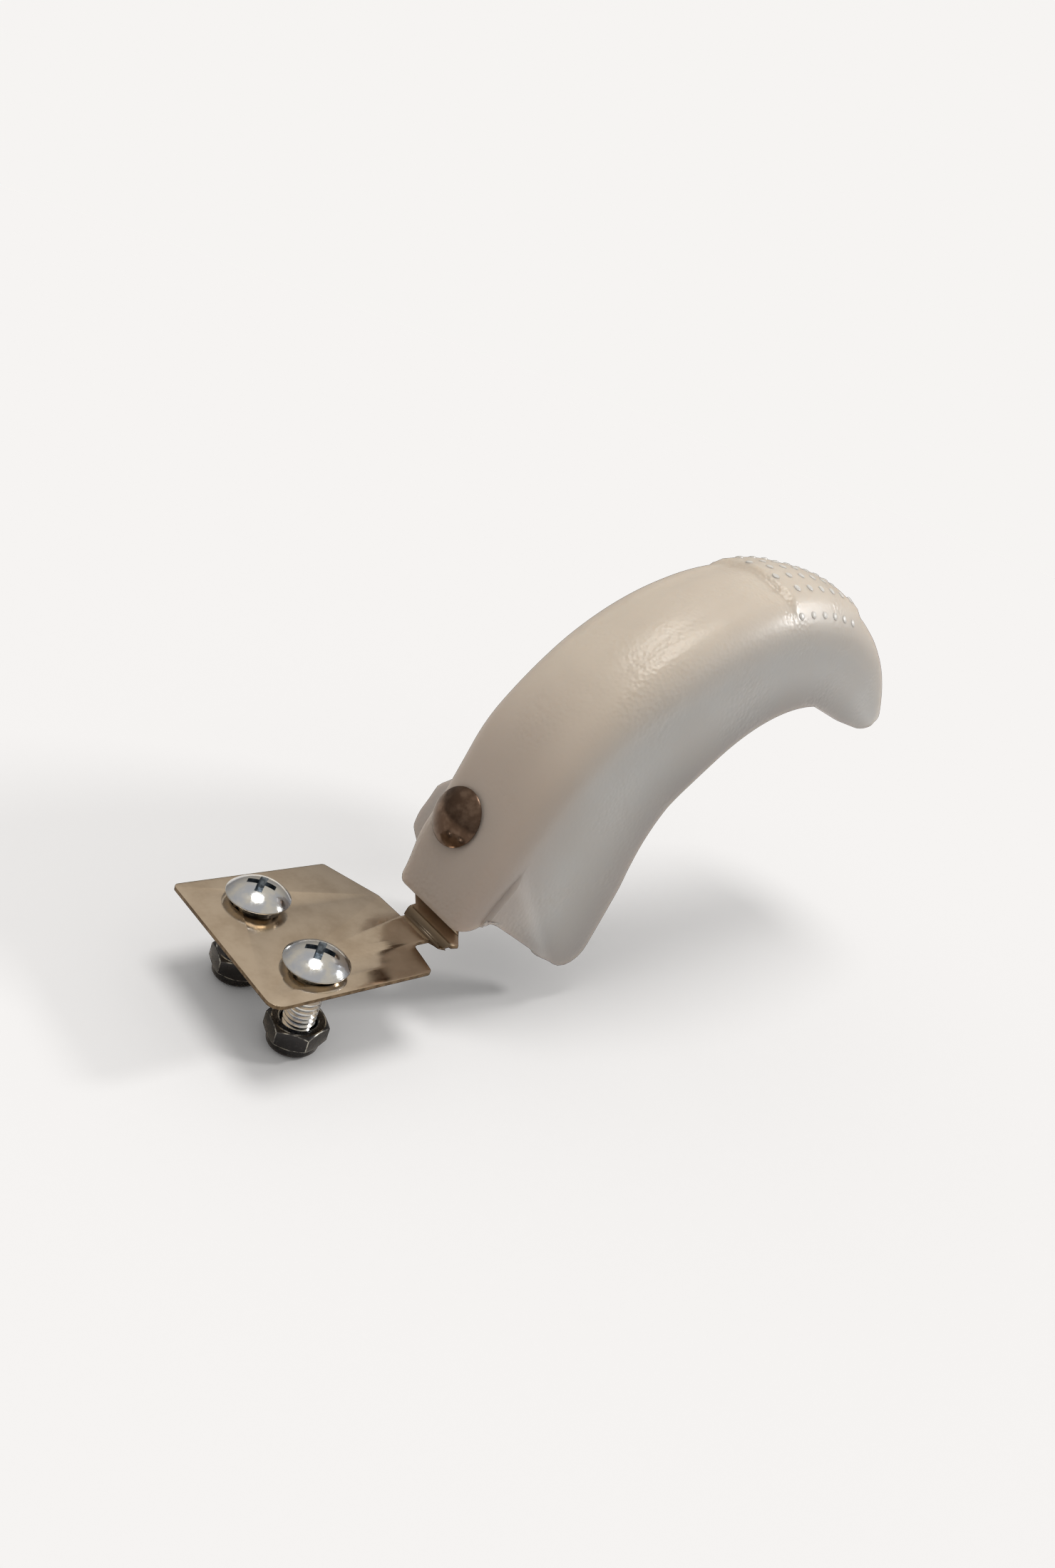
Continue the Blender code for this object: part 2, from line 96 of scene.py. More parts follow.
# Taken from the CAD nodes, in mm
PLATE_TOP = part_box("mounting_plate")[1].z / MM
PLATE_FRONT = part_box("mounting_plate")[0].x / MM
PLATE_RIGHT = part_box("mounting_plate")[0].y / MM
PLATE_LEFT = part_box("mounting_plate")[1].y / MM
BEND_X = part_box("mounting_plate")[1].x / MM
SCREW_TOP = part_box("screw_left")[1].z / MM
SCREW_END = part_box("screw_left")[0].z / MM
NUT_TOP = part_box("lock_nut_left")[1].z / MM
NUT_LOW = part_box("lock_nut_left")[0].z / MM
GAP = 0.3                # clearance between touching pieces

# Mounting plate and leaf
HOLE_RADIUS = 3.3
NECK = (-9.2, -1.2)      # y of the plate's edges at the bend
NECK_STRIP = 0.6         # flat strip of the sheet just before the bend
BEND_DARK_START = (-0.3, 0.2)    # x from the bend, over which its band of painted dark reflection comes in
BEND_DARK_END = (1.2, 1.8)       # and goes out
LEAF_RIGHT = (-12.3, -12.6, -13.2, -13.8, -14.3, -12.0)    # y, row by row from the bend
LEAF_LEFT = (-0.6, -0.6, -0.6, -0.6, -0.6, 2.0)
LEG_RIGHT = -9.6
LEG_LEFT = 4.6
LEG_STOPS = (1.6, 3.2, 6.0, 9.5, 13.0, 16.6, 20.5, 23.5)
LEG_ROUND = (0.0, 1.2, 4.5)
JOGGLE = ((0.3, 0.0), (0.45, 0.45), (0.75, 1.35), (1.15, 1.75))
FOOT_LEAD = ((-2.6, 1.95), (-0.9, 2.25))
LEAF_COLUMNS = 12

# Fender
FENDER_Y = -2.6          # y of its middle plane
FENDER_WALL = 2.2
TONGUE_X = 28.5
TONGUE_Z = 4.3
TONGUE_SLOPE = 73.0      # degrees above horizontal
TONGUE_LENGTH = 30.0
ARCS = ((40.0, 58.0), (10.0, 75.5), (-15.0, 66.0), (-51.5, 46.0), (-56.7, 100.0))
HALF_WIDTH = {
    "right": ((0.0, 11.6), (16.0, 12.4), (40.0, 13.6), (75.0, 15.0), (175.0, 14.6)),
    "left": ((0.0, 10.2), (12.0, 12.2), (40.0, 13.8), (75.0, 15.0), (175.0, 14.6)),
}
CORNER = ((0.0, 3.6), (30.0, 6.0), (75.0, 9.0), (135.0, 9.0), (169.0, 6.0))
CROWN = ((0.0, 0.0), (22.0, 0.0), (55.0, 1.0))
FLARE = 0.045            # outward lean of the skirts, mm per mm of depth
TONGUE_RISE = {"right": 2.8, "left": 5.0}
RISE_END = 16.0
SKIRT_STEP = {
    "right": ((0.0, 0.4), (4.0, 1.0), (12.0, 1.0), (18.0, 0.0)),
    "left": ((0.0, 0.4), (7.0, 4.9), (18.0, 4.9), (23.0, 1.6), (45.0, 0.0)),
}
STEP_SETTLE = {"right": 0.0, "left": 0.75}
STEP_RUN = {"right": 0.6, "left": 1.2}
PAD_START = 101.5
PAD_END = 133.5
PAD_RAISE = 1.3
PAD_EDGE = 2.2
PAD_REACH = 50.0         # degrees
PAD_FADE = 42.0          # degrees
TAIL_ROUND = 5.0         # rounding of the tail's lower corners, along the fender
TAIL_RISE = 3.1          # and up the tail's edge
THIN_CORNER = 0.35       # share of the wall left at the tongue's lower corners
THIN_TO = 9.0            # where the full wall is back
CORNER_SHARE = 0.4       # how far towards the rim the rounded corner ends
LOBE_FRONT = (33.9, 7.9)
LOBE_CORNER = (64.2, -10.8)
LOBE_RADIUS = 5.0
ARCH_CENTRE = (108.9, 12.3)
ARCH_RADIUS = 41.5
ARCH_FROM = 180.0
ARCH_TO = 88.0
TAIL_DIP = (124.5, 49.7)
TAIL_END = (141.0, 46.2)
FAN_TO = 48.0
CROWN_STEPS = 7
CORNER_STEPS = 9
STEP_STEPS = 3
SKIRT_STEPS = 13
TONGUE_SHADE_FROM = 30.0  # x from which the painted shade on the tongue's face fades
TONGUE_SHADE_TO = 52.0

# Tread bumps
TREAD_ROWS = (-12.6, -8.0, -3.6, 0.0, 3.6, 8.0, 12.6)    # from the fender's middle plane
TREAD_FIRST = 2.6        # from the pad's front edge
TREAD_LAST = 1.8         # least distance to the pad's back edge
TREAD_PROBE = 12.0       # height from which each spot on the skin is looked for
BUMP_SIDES = 14
BUMP_RINGS = 4
BUMP_FOOT = 0.25         # how deep a bump's foot sits in the skin

# Rivet
RIVET_Y = 1.0
RIVET_S = 17.4
RIVET_HEAD_RADIUS = 6.0
RIVET_HEAD_HEIGHT = 2.4
RIVET_SHANK_RADIUS = 2.5
RIVET_HOLE_RADIUS = 2.8
RIVET_TAIL_RADIUS = 4.2
RIVET_TAIL_HEIGHT = 1.4
LEAF_THICK = PLATE_TOP
WASHER_THICK = 1.0

# Screws and nuts
SCREW_RADIUS = 3.0
THREAD_ROOT = 2.5
THREAD_SINK = 0.06       # how deep the thread's foot sits in the core
THREAD_CREST = SCREW_RADIUS - 0.04
CREST_FLAT = 0.07        # half the flat on the crest
THREAD_TOP = -0.6
THREAD_END = SCREW_END + 0.5
THREAD_STEPS = 40        # rows of points in a turn
THREAD_FADE = 0.6        # turns over which the thread runs out
HEAD_RADIUS = 6.0
HEAD_RIM = 1.2           # height of the widest part above the seat
RIM_BAND = 0.3
SEAT_RADIUS = 4.9
RECESS_REACH = 3.5
RECESS_WIDTH = 1.5
RECESS_DEPTH = 2.2
RECESS_TURN = 45.0       # degrees
NUT_ACROSS_FLATS = 10.0
COLLAR_HEIGHT = 1.7
COLLAR_RADIUS = 4.7
COLLAR_LIP = 0.5
COLLAR_ROUND = 0.7
RING_RADIUS = 3.9
RING_THICK = 1.0
NUT_TURN = 47.0          # degrees
NUT_CHAMFER = 30.0       # degrees

# Camera
CAMERA_PLACE = (-108.9, -127.4, 114.9)
CAMERA_AZIMUTH = 309.0   # degrees, 0 looks along +Y
CAMERA_ELEVATION = 23.26
CAMERA_ROLL = 21.0
CAMERA_LENS = 25.59      # mm, on a 36 mm sensor
FLOOR_RADIUS = 1.6       # metres


def linear(hex_colour):
    """An sRGB hex colour in linear light."""
    channels = [int(hex_colour[i:i + 2], 16) / 255 for i in (0, 2, 4)]
    return tuple(c / 12.92 if c <= 0.04045 else ((c + 0.055) / 1.055) ** 2.4 for c in channels)


def length_property(name, description, default):
    return bpy.props.FloatProperty(
        name=name, description=description, default=default * MM, min=0.0, precision=5,
        subtype="DISTANCE", unit="LENGTH",
    )


def colour_property(name, description, hex_colour):
    return bpy.props.FloatVectorProperty(
        name=name, description=description, default=linear(hex_colour), min=0.0, max=1.0,
        size=3, subtype="COLOR",
    )


class FenderSettings(bpy.types.PropertyGroup):
    wall: length_property("Wall", "Thickness of the moulded plastic", FENDER_WALL)
    rim_share: bpy.props.FloatProperty(
        name="Rim rounding", description="Rounding of the edges, as a share of the wall",
        default=27.0, min=0.0, max=45.0, subtype="PERCENTAGE",
    )
    bump_pitch: length_property("Bump spacing", "Distance between the tread's bumps", 4.6)
    bump_radius: length_property("Bump radius", "Radius of a tread bump", 0.85)
    bump_height: length_property("Bump height", "Height of a tread bump", 0.26)
    # The crown, side and rim colours are lit and shaded copies of one plastic: painted light on the crown,
    # painted shade on the skirts, darkest near the rim.
    lit_crown_colour: colour_property("Crown", "Plastic along the fender's top", "cdc5bb")
    shaded_side_colour: colour_property("Side", "Plastic of the skirts", "aeb1b4")
    shaded_rim_colour: colour_property("Rim", "Plastic near the lower edge", "919193")


class SteelSettings(bpy.types.PropertyGroup):
    thickness: length_property("Thickness", "Thickness of the spring steel", PLATE_TOP)
    edge_round: length_property("Edge rounding", "Rounding of the sheared edges", 0.12)
    colour: colour_property("Steel", "Warm tint left by tempering", "d6c7b3")
    dark_colour: colour_property("Dark tint", "Darker, oilier patches of the tint", "c0af9a")


class FastenerSettings(bpy.types.PropertyGroup):
    pitch: length_property("Thread pitch", "Distance from thread to thread", 1.0)
    zinc_colour: colour_property("Zinc", "Bright zinc plating of the screws", "dcdcd8")
    black_colour: colour_property("Black zinc", "Black plating of the lock nuts", "38383a")
    rivet_colour: colour_property("Rivet", "Bronzed steel of the rivet", "57463b")
    nylon_colour: colour_property("Nylon", "Nylon of the locking rings", "c9ccd0")


class StageSettings(bpy.types.PropertyGroup):
    backdrop_colour: colour_property("Backdrop", "Floor and background", "f6f4f2")
    key_power: bpy.props.FloatProperty(
        name="Key light", description="Power of the softbox overhead", default=1.3, min=0.0,
        unit="POWER",
    )
    side_power: bpy.props.FloatProperty(
        name="Side light", description="Power of the lamp that draws the ridge's glints",
        default=0.7, min=0.0, unit="POWER",
    )


class FenderBrakeSettings(bpy.types.PropertyGroup):
    fender: bpy.props.PointerProperty(
        name="Fender", description="Sizes and colours of the fender", type=FenderSettings
    )
    steel: bpy.props.PointerProperty(
        name="Steel", description="Sizes and colours of the bent steel", type=SteelSettings
    )
    fasteners: bpy.props.PointerProperty(
        name="Fasteners", description="Sizes and colours of screws, nuts and rivet",
        type=FastenerSettings,
    )
    stage: bpy.props.PointerProperty(
        name="Stage", description="Floor, lights and background", type=StageSettings
    )


# Materials

SMOOTH = {"interpolation_type": "SMOOTHSTEP"}    # for Map Range
COLOURS = {"data_type": "RGBA", "output": 2}     # for Mix: 0 is the share, 6 and 7 the colours


def add_node(mat, kind, inputs=(), output=0, **settings):
    """Add a node with its settings, and give one of its outputs.

    Inputs go by place in a tuple, or by socket in a dict. A value may be a socket to link,
    and a colour is three numbers.
    """
    node = mat.node_tree.nodes.new(kind)
    for name, value in settings.items():
        setattr(node, name, value)
    for socket, value in inputs.items() if isinstance(inputs, dict) else enumerate(inputs):
        if isinstance(value, bpy.types.NodeSocket):
            mat.node_tree.links.new(value, node.inputs[socket])
        elif node.inputs[socket].type == "RGBA":
            node.inputs[socket].default_value = (*value, 1.0)
        else:
            node.inputs[socket].default_value = value
    return node.outputs[output]


def new_material(name, **values):
    """A material with these values on its Principled shader."""
    mat = bpy.data.materials.new(name)
    mat.use_nodes = True
    shader = mat.node_tree.nodes["Principled BSDF"]
    for socket, value in values.items():
        shader.inputs[socket.replace("_", " ")].default_value = value
    return mat


def wired(mat, colour, gloss=None, relief=None):
    """The material with its colour, and its roughness and bump where it has them.

    Gloss is (pattern, low, high, roughness at low, roughness at high) and relief is
    (pattern, strength, depth in mm).
    """
    sockets = mat.node_tree.nodes["Principled BSDF"].inputs
    link = mat.node_tree.links.new
    link(colour, sockets["Base Color"])
    if gloss:
        link(add_node(mat, "ShaderNodeMapRange", gloss, **SMOOTH), sockets["Roughness"])
    if relief:
        height, strength, depth = relief
        bump = {"Strength": strength, "Distance": depth * MM, "Height": height}
        link(add_node(mat, "ShaderNodeBump", bump), sockets["Normal"])
    return mat


def mottle(mat, size, detail=3.0, stretch=(1.0, 1.0, 1.0), roughness=0.5):
    """A cloudy pattern whose features are about this size in mm, stretched along the axes."""
    place = add_node(mat, "ShaderNodeTexCoord", output="Object")
    scale = [1.0 / (size * MM * s) for s in stretch]
    place = add_node(mat, "ShaderNodeMapping", {"Vector": place, "Scale": scale})
    return add_node(
        mat, "ShaderNodeTexNoise",
        {"Vector": place, "Scale": 1.0, "Detail": detail, "Roughness": roughness},
    )


def layered(mat, colour, *layers):
    """A colour with others laid over it.

    A layer is (colour, pattern, span). The span is the pattern's range in which the colour
    comes in, and may go on with its strengths at the range's two ends.
    """
    for over, pattern, span in layers:
        share = add_node(mat, "ShaderNodeMapRange", (pattern, *span), **SMOOTH)
        colour = add_node(mat, "ShaderNodeMix", {0: share, 6: colour, 7: over}, **COLOURS)
    return colour


def polypropylene(settings):
    """Natural polypropylene, injection moulded in a spark-eroded mould.

    It gives a milky body that light sinks into, and a satin skin with a fine grain that
    sparkles in patches. Painted light and shade are in its colour: a lighter, warm crown,
    cooler skirts that darken towards the rim, a darker tongue, and tread bumps painted
    near-white as a painted highlight.
    """
    mat = new_material(
        "milky_polypropylene", IOR=1.49, Subsurface_Weight=0.45, Subsurface_Scale=0.006,
        Subsurface_Radius=(1.0, 0.8, 0.65),
    )
    toward_rim = add_node(mat, "ShaderNodeAttribute", output="Fac", attribute_name="toward_rim")
    tread = add_node(mat, "ShaderNodeAttribute", output="Fac", attribute_name="tread")
    place = add_node(mat, "ShaderNodeTexCoord", output="Object")
    along = add_node(mat, "ShaderNodeSeparateXYZ", (place,), output="X")
    body = layered(
        mat, tuple(settings.lit_crown_colour),
        # Painted shade: the skirts take a cooler, darker copy of the crown's colour, darker still near the
        # rim.
        (tuple(settings.shaded_side_colour), toward_rim, (0.05, 0.5)),
        (tuple(settings.shaded_rim_colour), toward_rim, (0.6, 1.0)),
        # Painted shade on the tongue's steep face, fading out along x.
        (linear("9b918d"), along, (TONGUE_SHADE_FROM * MM, TONGUE_SHADE_TO * MM, 0.8, 0.0)),
        (linear("a79f98"), mottle(mat, 14.0), (0.35, 0.7, 0.0, 0.16)),
        # Painted highlight: the tread bumps are painted near-white so that they read as bright dots.
        (linear("fbf8f4"), tread, (0.0, 1.0, 0.0, 0.85)),
    )
    cloud = mottle(mat, 16.0, detail=1.0)
    patches = add_node(mat, "ShaderNodeMapRange", (cloud, 0.35, 0.75), **SMOOTH)
    # The real grain is about 0.15 mm; it is drawn at 0.9 mm so that it shows.
    grain = add_node(
        mat, "ShaderNodeTexVoronoi",
        {"Vector": place, "Scale": 1.0 / (0.9 * MM), "Smoothness": 0.6},
        output="Distance", feature="SMOOTH_F1",
    )
    strength = add_node(mat, "ShaderNodeMapRange", (patches, 0.0, 1.0, 0.10, 0.60), **SMOOTH)
    return wired(mat, body, (patches, 0.0, 1.0, 0.40, 0.30), (grain, strength, 0.2))


def temper_steel(settings):
    """Hardened spring strip, rolled bright and tempered.

    It gives a polished sheet with a bronze tint that clouds over in soft patches, faint
    rolling lines, and enough gloss to mirror the screw heads.
    """
    mat = new_material("tempered_spring_steel", Metallic=1.0)
    clouds = mottle(mat, 7.0, detail=5.0, roughness=0.6)
    tint = layered(
        mat, tuple(settings.colour), (tuple(settings.dark_colour), clouds, (0.35, 0.75))
    )
    place = add_node(mat, "ShaderNodeTexCoord", output="Object")
    along = add_node(mat, "ShaderNodeSeparateXYZ", (place,), output="X")
    # Painted reflection: a dark band across the joggle at the bend, standing in for the dark reflection in
    # its riser.
    start = [(BEND_X + x) * MM for x in BEND_DARK_START]
    end = [(BEND_X + x) * MM for x in BEND_DARK_END]
    bend = add_node(
        mat, "ShaderNodeMath",
        (add_node(mat, "ShaderNodeMapRange", (along, *start), **SMOOTH),
         add_node(mat, "ShaderNodeMapRange", (along, *end, 0.8, 0.0), **SMOOTH)),
        operation="MULTIPLY",
    )
    tint = add_node(mat, "ShaderNodeMix", {0: bend, 6: tint, 7: linear("5f4f3c")}, **COLOURS)
    smear = mottle(mat, 2.5, detail=6.0, roughness=0.65)
    # Rolling lines are hundredths of a mm apart; these are 0.5 mm apart so that they show.
    lines = mottle(mat, 0.5, detail=2.0, stretch=(30.0, 1.0, 30.0))
    return wired(mat, tint, (smear, 0.3, 0.7, 0.09, 0.19), (lines, 0.12, 0.02))


def sheared_steel():
    """The strip's cut edge, sheared and left as it came.

    It gives a thin dark line round the bright sheet.
    """
    mat = new_material("sheared_steel_edge", Metallic=1.0)
    stain = mottle(mat, 1.0, detail=4.0)
    tint = layered(mat, linear("5b4c3b"), (linear("7d6b55"), stain, (0.35, 0.65)))
    tear = mottle(mat, 0.4, stretch=(1.0, 1.0, 4.0))
    return wired(mat, tint, (tear, 0.3, 0.7, 0.35, 0.55))


def bright_zinc(settings):
    """Steel, cold headed and zinc plated with a clear passivate.

    It gives a bright, slightly rippled mirror with a faint blue and straw bloom.
    """
    mat = new_material("bright_zinc_plate", Metallic=1.0)
    bloom = mottle(mat, 3.0)
    tint = layered(mat, tuple(settings.zinc_colour), (linear("c3cad6"), bloom, (0.35, 0.65)))
    wear = mottle(mat, 0.8, detail=5.0, roughness=0.6)
    ripple = mottle(mat, 1.6, detail=2.0)
    return wired(mat, tint, (wear, 0.35, 0.7, 0.09, 0.20), (ripple, 0.25, 0.05))


def recess_shade_zinc():
    """Zinc down in the screw's recess, darkened with painted shade and scuffed lighter in patches.

    It gives the blue-grey cross in the bright head.
    """
    mat = new_material("zinc_with_painted_recess_shade", Metallic=1.0)
    scuff = mottle(mat, 0.7, detail=4.0)
    tint = layered(mat, linear("5d656e"), (linear("98a3ae"), scuff, (0.35, 0.65)))
    dust = mottle(mat, 0.4)
    return wired(mat, tint, (dust, 0.3, 0.7, 0.30, 0.50))


def black_zinc(settings):
    """Steel, forged, tapped and plated with black zinc.

    It gives a deep black with a soft metallic sheen, worn lighter in small spots.
    """
    mat = new_material("black_zinc_plate", Metallic=1.0)
    wear_and_edge_highlight = mottle(mat, 1.2, detail=6.0, roughness=0.7)
    tint = layered(
        mat, tuple(settings.black_colour), (linear("5a5a5c"), wear_and_edge_highlight, (0.55, 0.75, 0.0, 0.6))
    )
    sheen = mottle(mat, 0.9)
    pits = mottle(mat, 0.7, detail=4.0)
    return wired(mat, tint, (sheen, 0.3, 0.7, 0.16, 0.32), (pits, 0.2, 0.03))


def edge_highlight_zinc():
    """Black zinc painted lighter along the nut's bevelled edges, as a painted highlight.

    It gives the bright broken lines along the chamfers and corners.
    """
    mat = new_material("black_zinc_painted_edge_highlight", Metallic=1.0)
    left = mottle(mat, 1.4)
    tint = layered(mat, linear("4a4a4b"), (linear("b9b9b4"), left, (0.4, 0.6)))
    scrape = mottle(mat, 0.6)
    return wired(mat, tint, (scrape, 0.3, 0.7, 0.18, 0.34))


def bronzed_steel(settings):
    """Mild steel rivet, headed and chemically bronzed.

    It gives a dark brown polished dome, mottled where the colour has worn thin.
    """
    mat = new_material("bronzed_rivet_steel", Metallic=1.0)
    worn = mottle(mat, 2.6, detail=5.0, roughness=0.6)
    tint = layered(
        mat, tuple(settings.rivet_colour), (linear("8a7668"), worn, (0.4, 0.75, 0.0, 0.6))
    )
    smear = mottle(mat, 1.1, detail=5.0)
    dents = mottle(mat, 0.9, detail=4.0)
    return wired(mat, tint, (smear, 0.3, 0.7, 0.12, 0.26), (dents, 0.3, 0.05))


def turned_nylon(settings):
    """Nylon 6, turned from tube and pressed into the nut.

    It gives a matt, waxy ring with faint turning marks.
    """
    mat = new_material(
        "natural_nylon", Roughness=0.42, IOR=1.53, Subsurface_Weight=0.3,
        Subsurface_Scale=0.001,
    )
    cloud = mottle(mat, 1.5)
    tint = layered(
        mat, tuple(settings.nylon_colour), (linear("a8adb5"), cloud, (0.3, 0.7, 0.0, 0.3))
    )
    marks = mottle(mat, 0.4, stretch=(20.0, 20.0, 1.0))
    return wired(mat, tint, relief=(marks, 0.2, 0.03))


# Geometry

def linked(name, data):
    obj = bpy.data.objects.new(name, data)
    bpy.context.scene.collection.objects.link(obj)
    return obj


def mesh_object(name, bm, smooth_angle=35.0):
    """A new object from a bmesh in mm."""
    bmesh.ops.scale(bm, verts=bm.verts, vec=(MM, MM, MM))
    mesh = bpy.data.meshes.new(name)
    bm.to_mesh(mesh)
    bm.free()
    obj = linked(name, mesh)
    shade(obj, smooth_angle)
    return obj


def shade(obj, smooth_angle=35.0):
    obj.data.shade_smooth()
    obj.data.set_sharp_from_angle(angle=math.radians(smooth_angle))


def apply_modifiers(obj, smooth_angle=35.0):
    """Make the result of an object's modifiers its mesh."""
    depsgraph = bpy.context.evaluated_depsgraph_get()
    mesh = bpy.data.meshes.new_from_object(obj.evaluated_get(depsgraph))
    obj.modifiers.clear()
    obj.data = mesh
    shade(obj, smooth_angle)
    return obj


def turned_object(name, profile, steps=96):
    """A profile of (radius, height) points in mm, turned about local Z by a Screw modifier."""
    edges = [(i, i + 1) for i in range(len(profile) - 1)]
    if profile[0][0] > 0.0:
        edges.append((len(profile) - 1, 0))
    mesh = bpy.data.meshes.new(name)
    mesh.from_pydata([(radius * MM, 0.0, height * MM) for radius, height in profile], edges, [])
    obj = linked(name, mesh)
    screw = obj.modifiers.new("turn", "SCREW")
    screw.axis = "Z"
    screw.steps = steps
    screw.render_steps = steps
    screw.use_merge_vertices = True
    screw.merge_threshold = 1e-7
    return obj


def combine(obj, cutters, operation="DIFFERENCE"):
    """Cut an object with others, or meet them, and remove those."""
    for cutter in cutters:
        modifier = obj.modifiers.new(cutter.name, "BOOLEAN")
        modifier.operation = operation
        modifier.solver = "EXACT"
        modifier.object = cutter
    apply_modifiers(obj)
    for cutter in cutters:
        bpy.data.objects.remove(cutter, do_unlink=True)


def soften(obj, width, segments=2, angle=40.0, clamp=True):
    """Round an object's edges with a Bevel modifier; the width is in metres."""
    bevel = obj.modifiers.new("soften", "BEVEL")
    bevel.width = width
    bevel.segments = segments
    bevel.limit_method = "ANGLE"
    bevel.angle_limit = math.radians(angle)
    bevel.use_clamp_overlap = clamp
    return bevel


def prism(radius, low, high, sides):
    """A closed prism or cylinder along local Z, from low to high."""
    bm = bmesh.new()
    bmesh.ops.create_cone(
        bm, cap_ends=True, segments=sides, radius1=radius, radius2=radius, depth=high - low,
        matrix=Matrix.Translation((0.0, 0.0, (low + high) / 2)),
    )
    return bm


def polar(centre, radius, degrees):
    angle = math.radians(degrees)
    return centre[0] + radius * math.cos(angle), centre[1] + radius * math.sin(angle)


def fillet(before, corner, after, radius, steps):
    """Points of an arc that rounds a corner of an outline."""
    start = Vector(before) - Vector(corner)
    end = Vector(after) - Vector(corner)
    half = start.angle(end) / 2
    reach = min(radius / math.tan(half), 0.49 * start.length, 0.49 * end.length)
    radius = reach * math.tan(half)
    middle = (start.normalized() + end.normalized()).normalized()
    centre = Vector(corner) + middle * (radius / math.sin(half))
    first = Vector(corner) + start.normalized() * reach - centre
    last = Vector(corner) + end.normalized() * reach - centre
    return [tuple(centre + first.slerp(last, i / steps) * radius) for i in range(steps + 1)]


def rounded(corners, steps=8):
    """A closed outline from (x, y, radius) corners."""
    points = []
    for i, (x, y, radius) in enumerate(corners):
        before = corners[i - 1][:2]
        after = corners[(i + 1) % len(corners)][:2]
        if radius > 0.0:
            points += fillet(before, (x, y), after, radius, steps)
        else:
            points.append((x, y))
    return points


def ease(t):
    t = max(0.0, min(1.0, t))
    return t * t * (3.0 - 2.0 * t)


def table(pairs, position):
    """Read a value from a table of (position, value) pairs, eased between its entries."""
    for (p0, v0), (p1, v1) in zip(pairs, pairs[1:]):
        if position <= p1:
            return v0 + (v1 - v0) * ease((position - p0) / (p1 - p0))
    return pairs[-1][1]


def spaced(start, end, count):
    return [start + (end - start) * i / count for i in range(1, count + 1)]


# The fender's middle line and outline

def line_length():
    total = TONGUE_LENGTH
    angle = TONGUE_SLOPE
    for end, radius in ARCS:
        total += radius * math.radians(angle - end)
        angle = end
    return total


def line_point(s):
    """Point (x, z) and slope in radians at a distance s along the fender's middle line."""
    slope = math.radians(TONGUE_SLOPE)
    run = min(s, TONGUE_LENGTH)
    x = TONGUE_X + run * math.cos(slope)
    z = TONGUE_Z + run * math.sin(slope)
    left = s - run
    for end, radius in ARCS:
        if left <= 0.0:
            break
        run = min(left, radius * (slope - math.radians(end)))
        turned = slope - run / radius
        x += radius * (math.sin(slope) - math.sin(turned))
        z += radius * (math.cos(turned) - math.cos(slope))
        slope = turned
        left -= run
    return x, z, slope


def skirt_outline():
    """The lower edge of a skirt seen from the side, from the front lobe to the tail."""
    arch = [polar(ARCH_CENTRE, ARCH_RADIUS, ARCH_FROM)]
    arch += [polar(ARCH_CENTRE, ARCH_RADIUS, t) for t in spaced(ARCH_FROM, ARCH_TO, 46)]
    lobe = fillet(LOBE_FRONT, LOBE_CORNER, arch[0], LOBE_RADIUS, 12)
    return [LOBE_FRONT] + lobe + arch + fillet(arch[-1], TAIL_DIP, TAIL_END, 14.0, 8) + [TAIL_END]


def along(points, distance):
    """The point at a distance along an open outline."""
    for a, b in zip(points, points[1:]):
        length = math.dist(a, b)
        if distance <= length:
            t = distance / length
            return a[0] + (b[0] - a[0]) * t, a[1] + (b[1] - a[1]) * t
        distance -= length
    return points[-1]


def reach_outline(points, x, z, dx, dz):
    """How far along an outline the line from (x, z) towards (dx, dz) first meets it."""
    travelled = 0.0
    nearest = math.inf
    found = 0.0
    for a, b in zip(points, points[1:]):
        length = math.dist(a, b)
        ex, ez = b[0] - a[0], b[1] - a[1]
        det = dx * ez - dz * ex
        if abs(det) > 1e-9:
            forward = ((a[0] - x) * ez - (a[1] - z) * ex) / det
            part = ((a[0] - x) * dz - (a[1] - z) * dx) / det
            if 0.0 < forward < nearest and 0.0 <= part <= 1.0:
                nearest = forward
                found = travelled + part * length
        travelled += length
    return found


def pad_height(s, turn):
    """Height of the raised tread, at a turn in degrees round the corner."""
    near = min((s - PAD_START) / PAD_EDGE, (PAD_END - s) / PAD_EDGE, (PAD_REACH - turn) / PAD_FADE)
    return PAD_RAISE * ease(near)


def skirt_end(s, outline):
    """Where the skirt's section that starts at s ends on its lower edge."""
    from_s = max(FAN_TO, s)
    x, z, slope = line_point(from_s)
    sink = table(CROWN, from_s) + table(CORNER, from_s)
    dx, dz = math.sin(slope), -math.cos(slope)
    distance = reach_outline(outline, x + sink * dx, z + sink * dz, dx, dz)
    return along(outline, distance * min(1.0, s / FAN_TO))


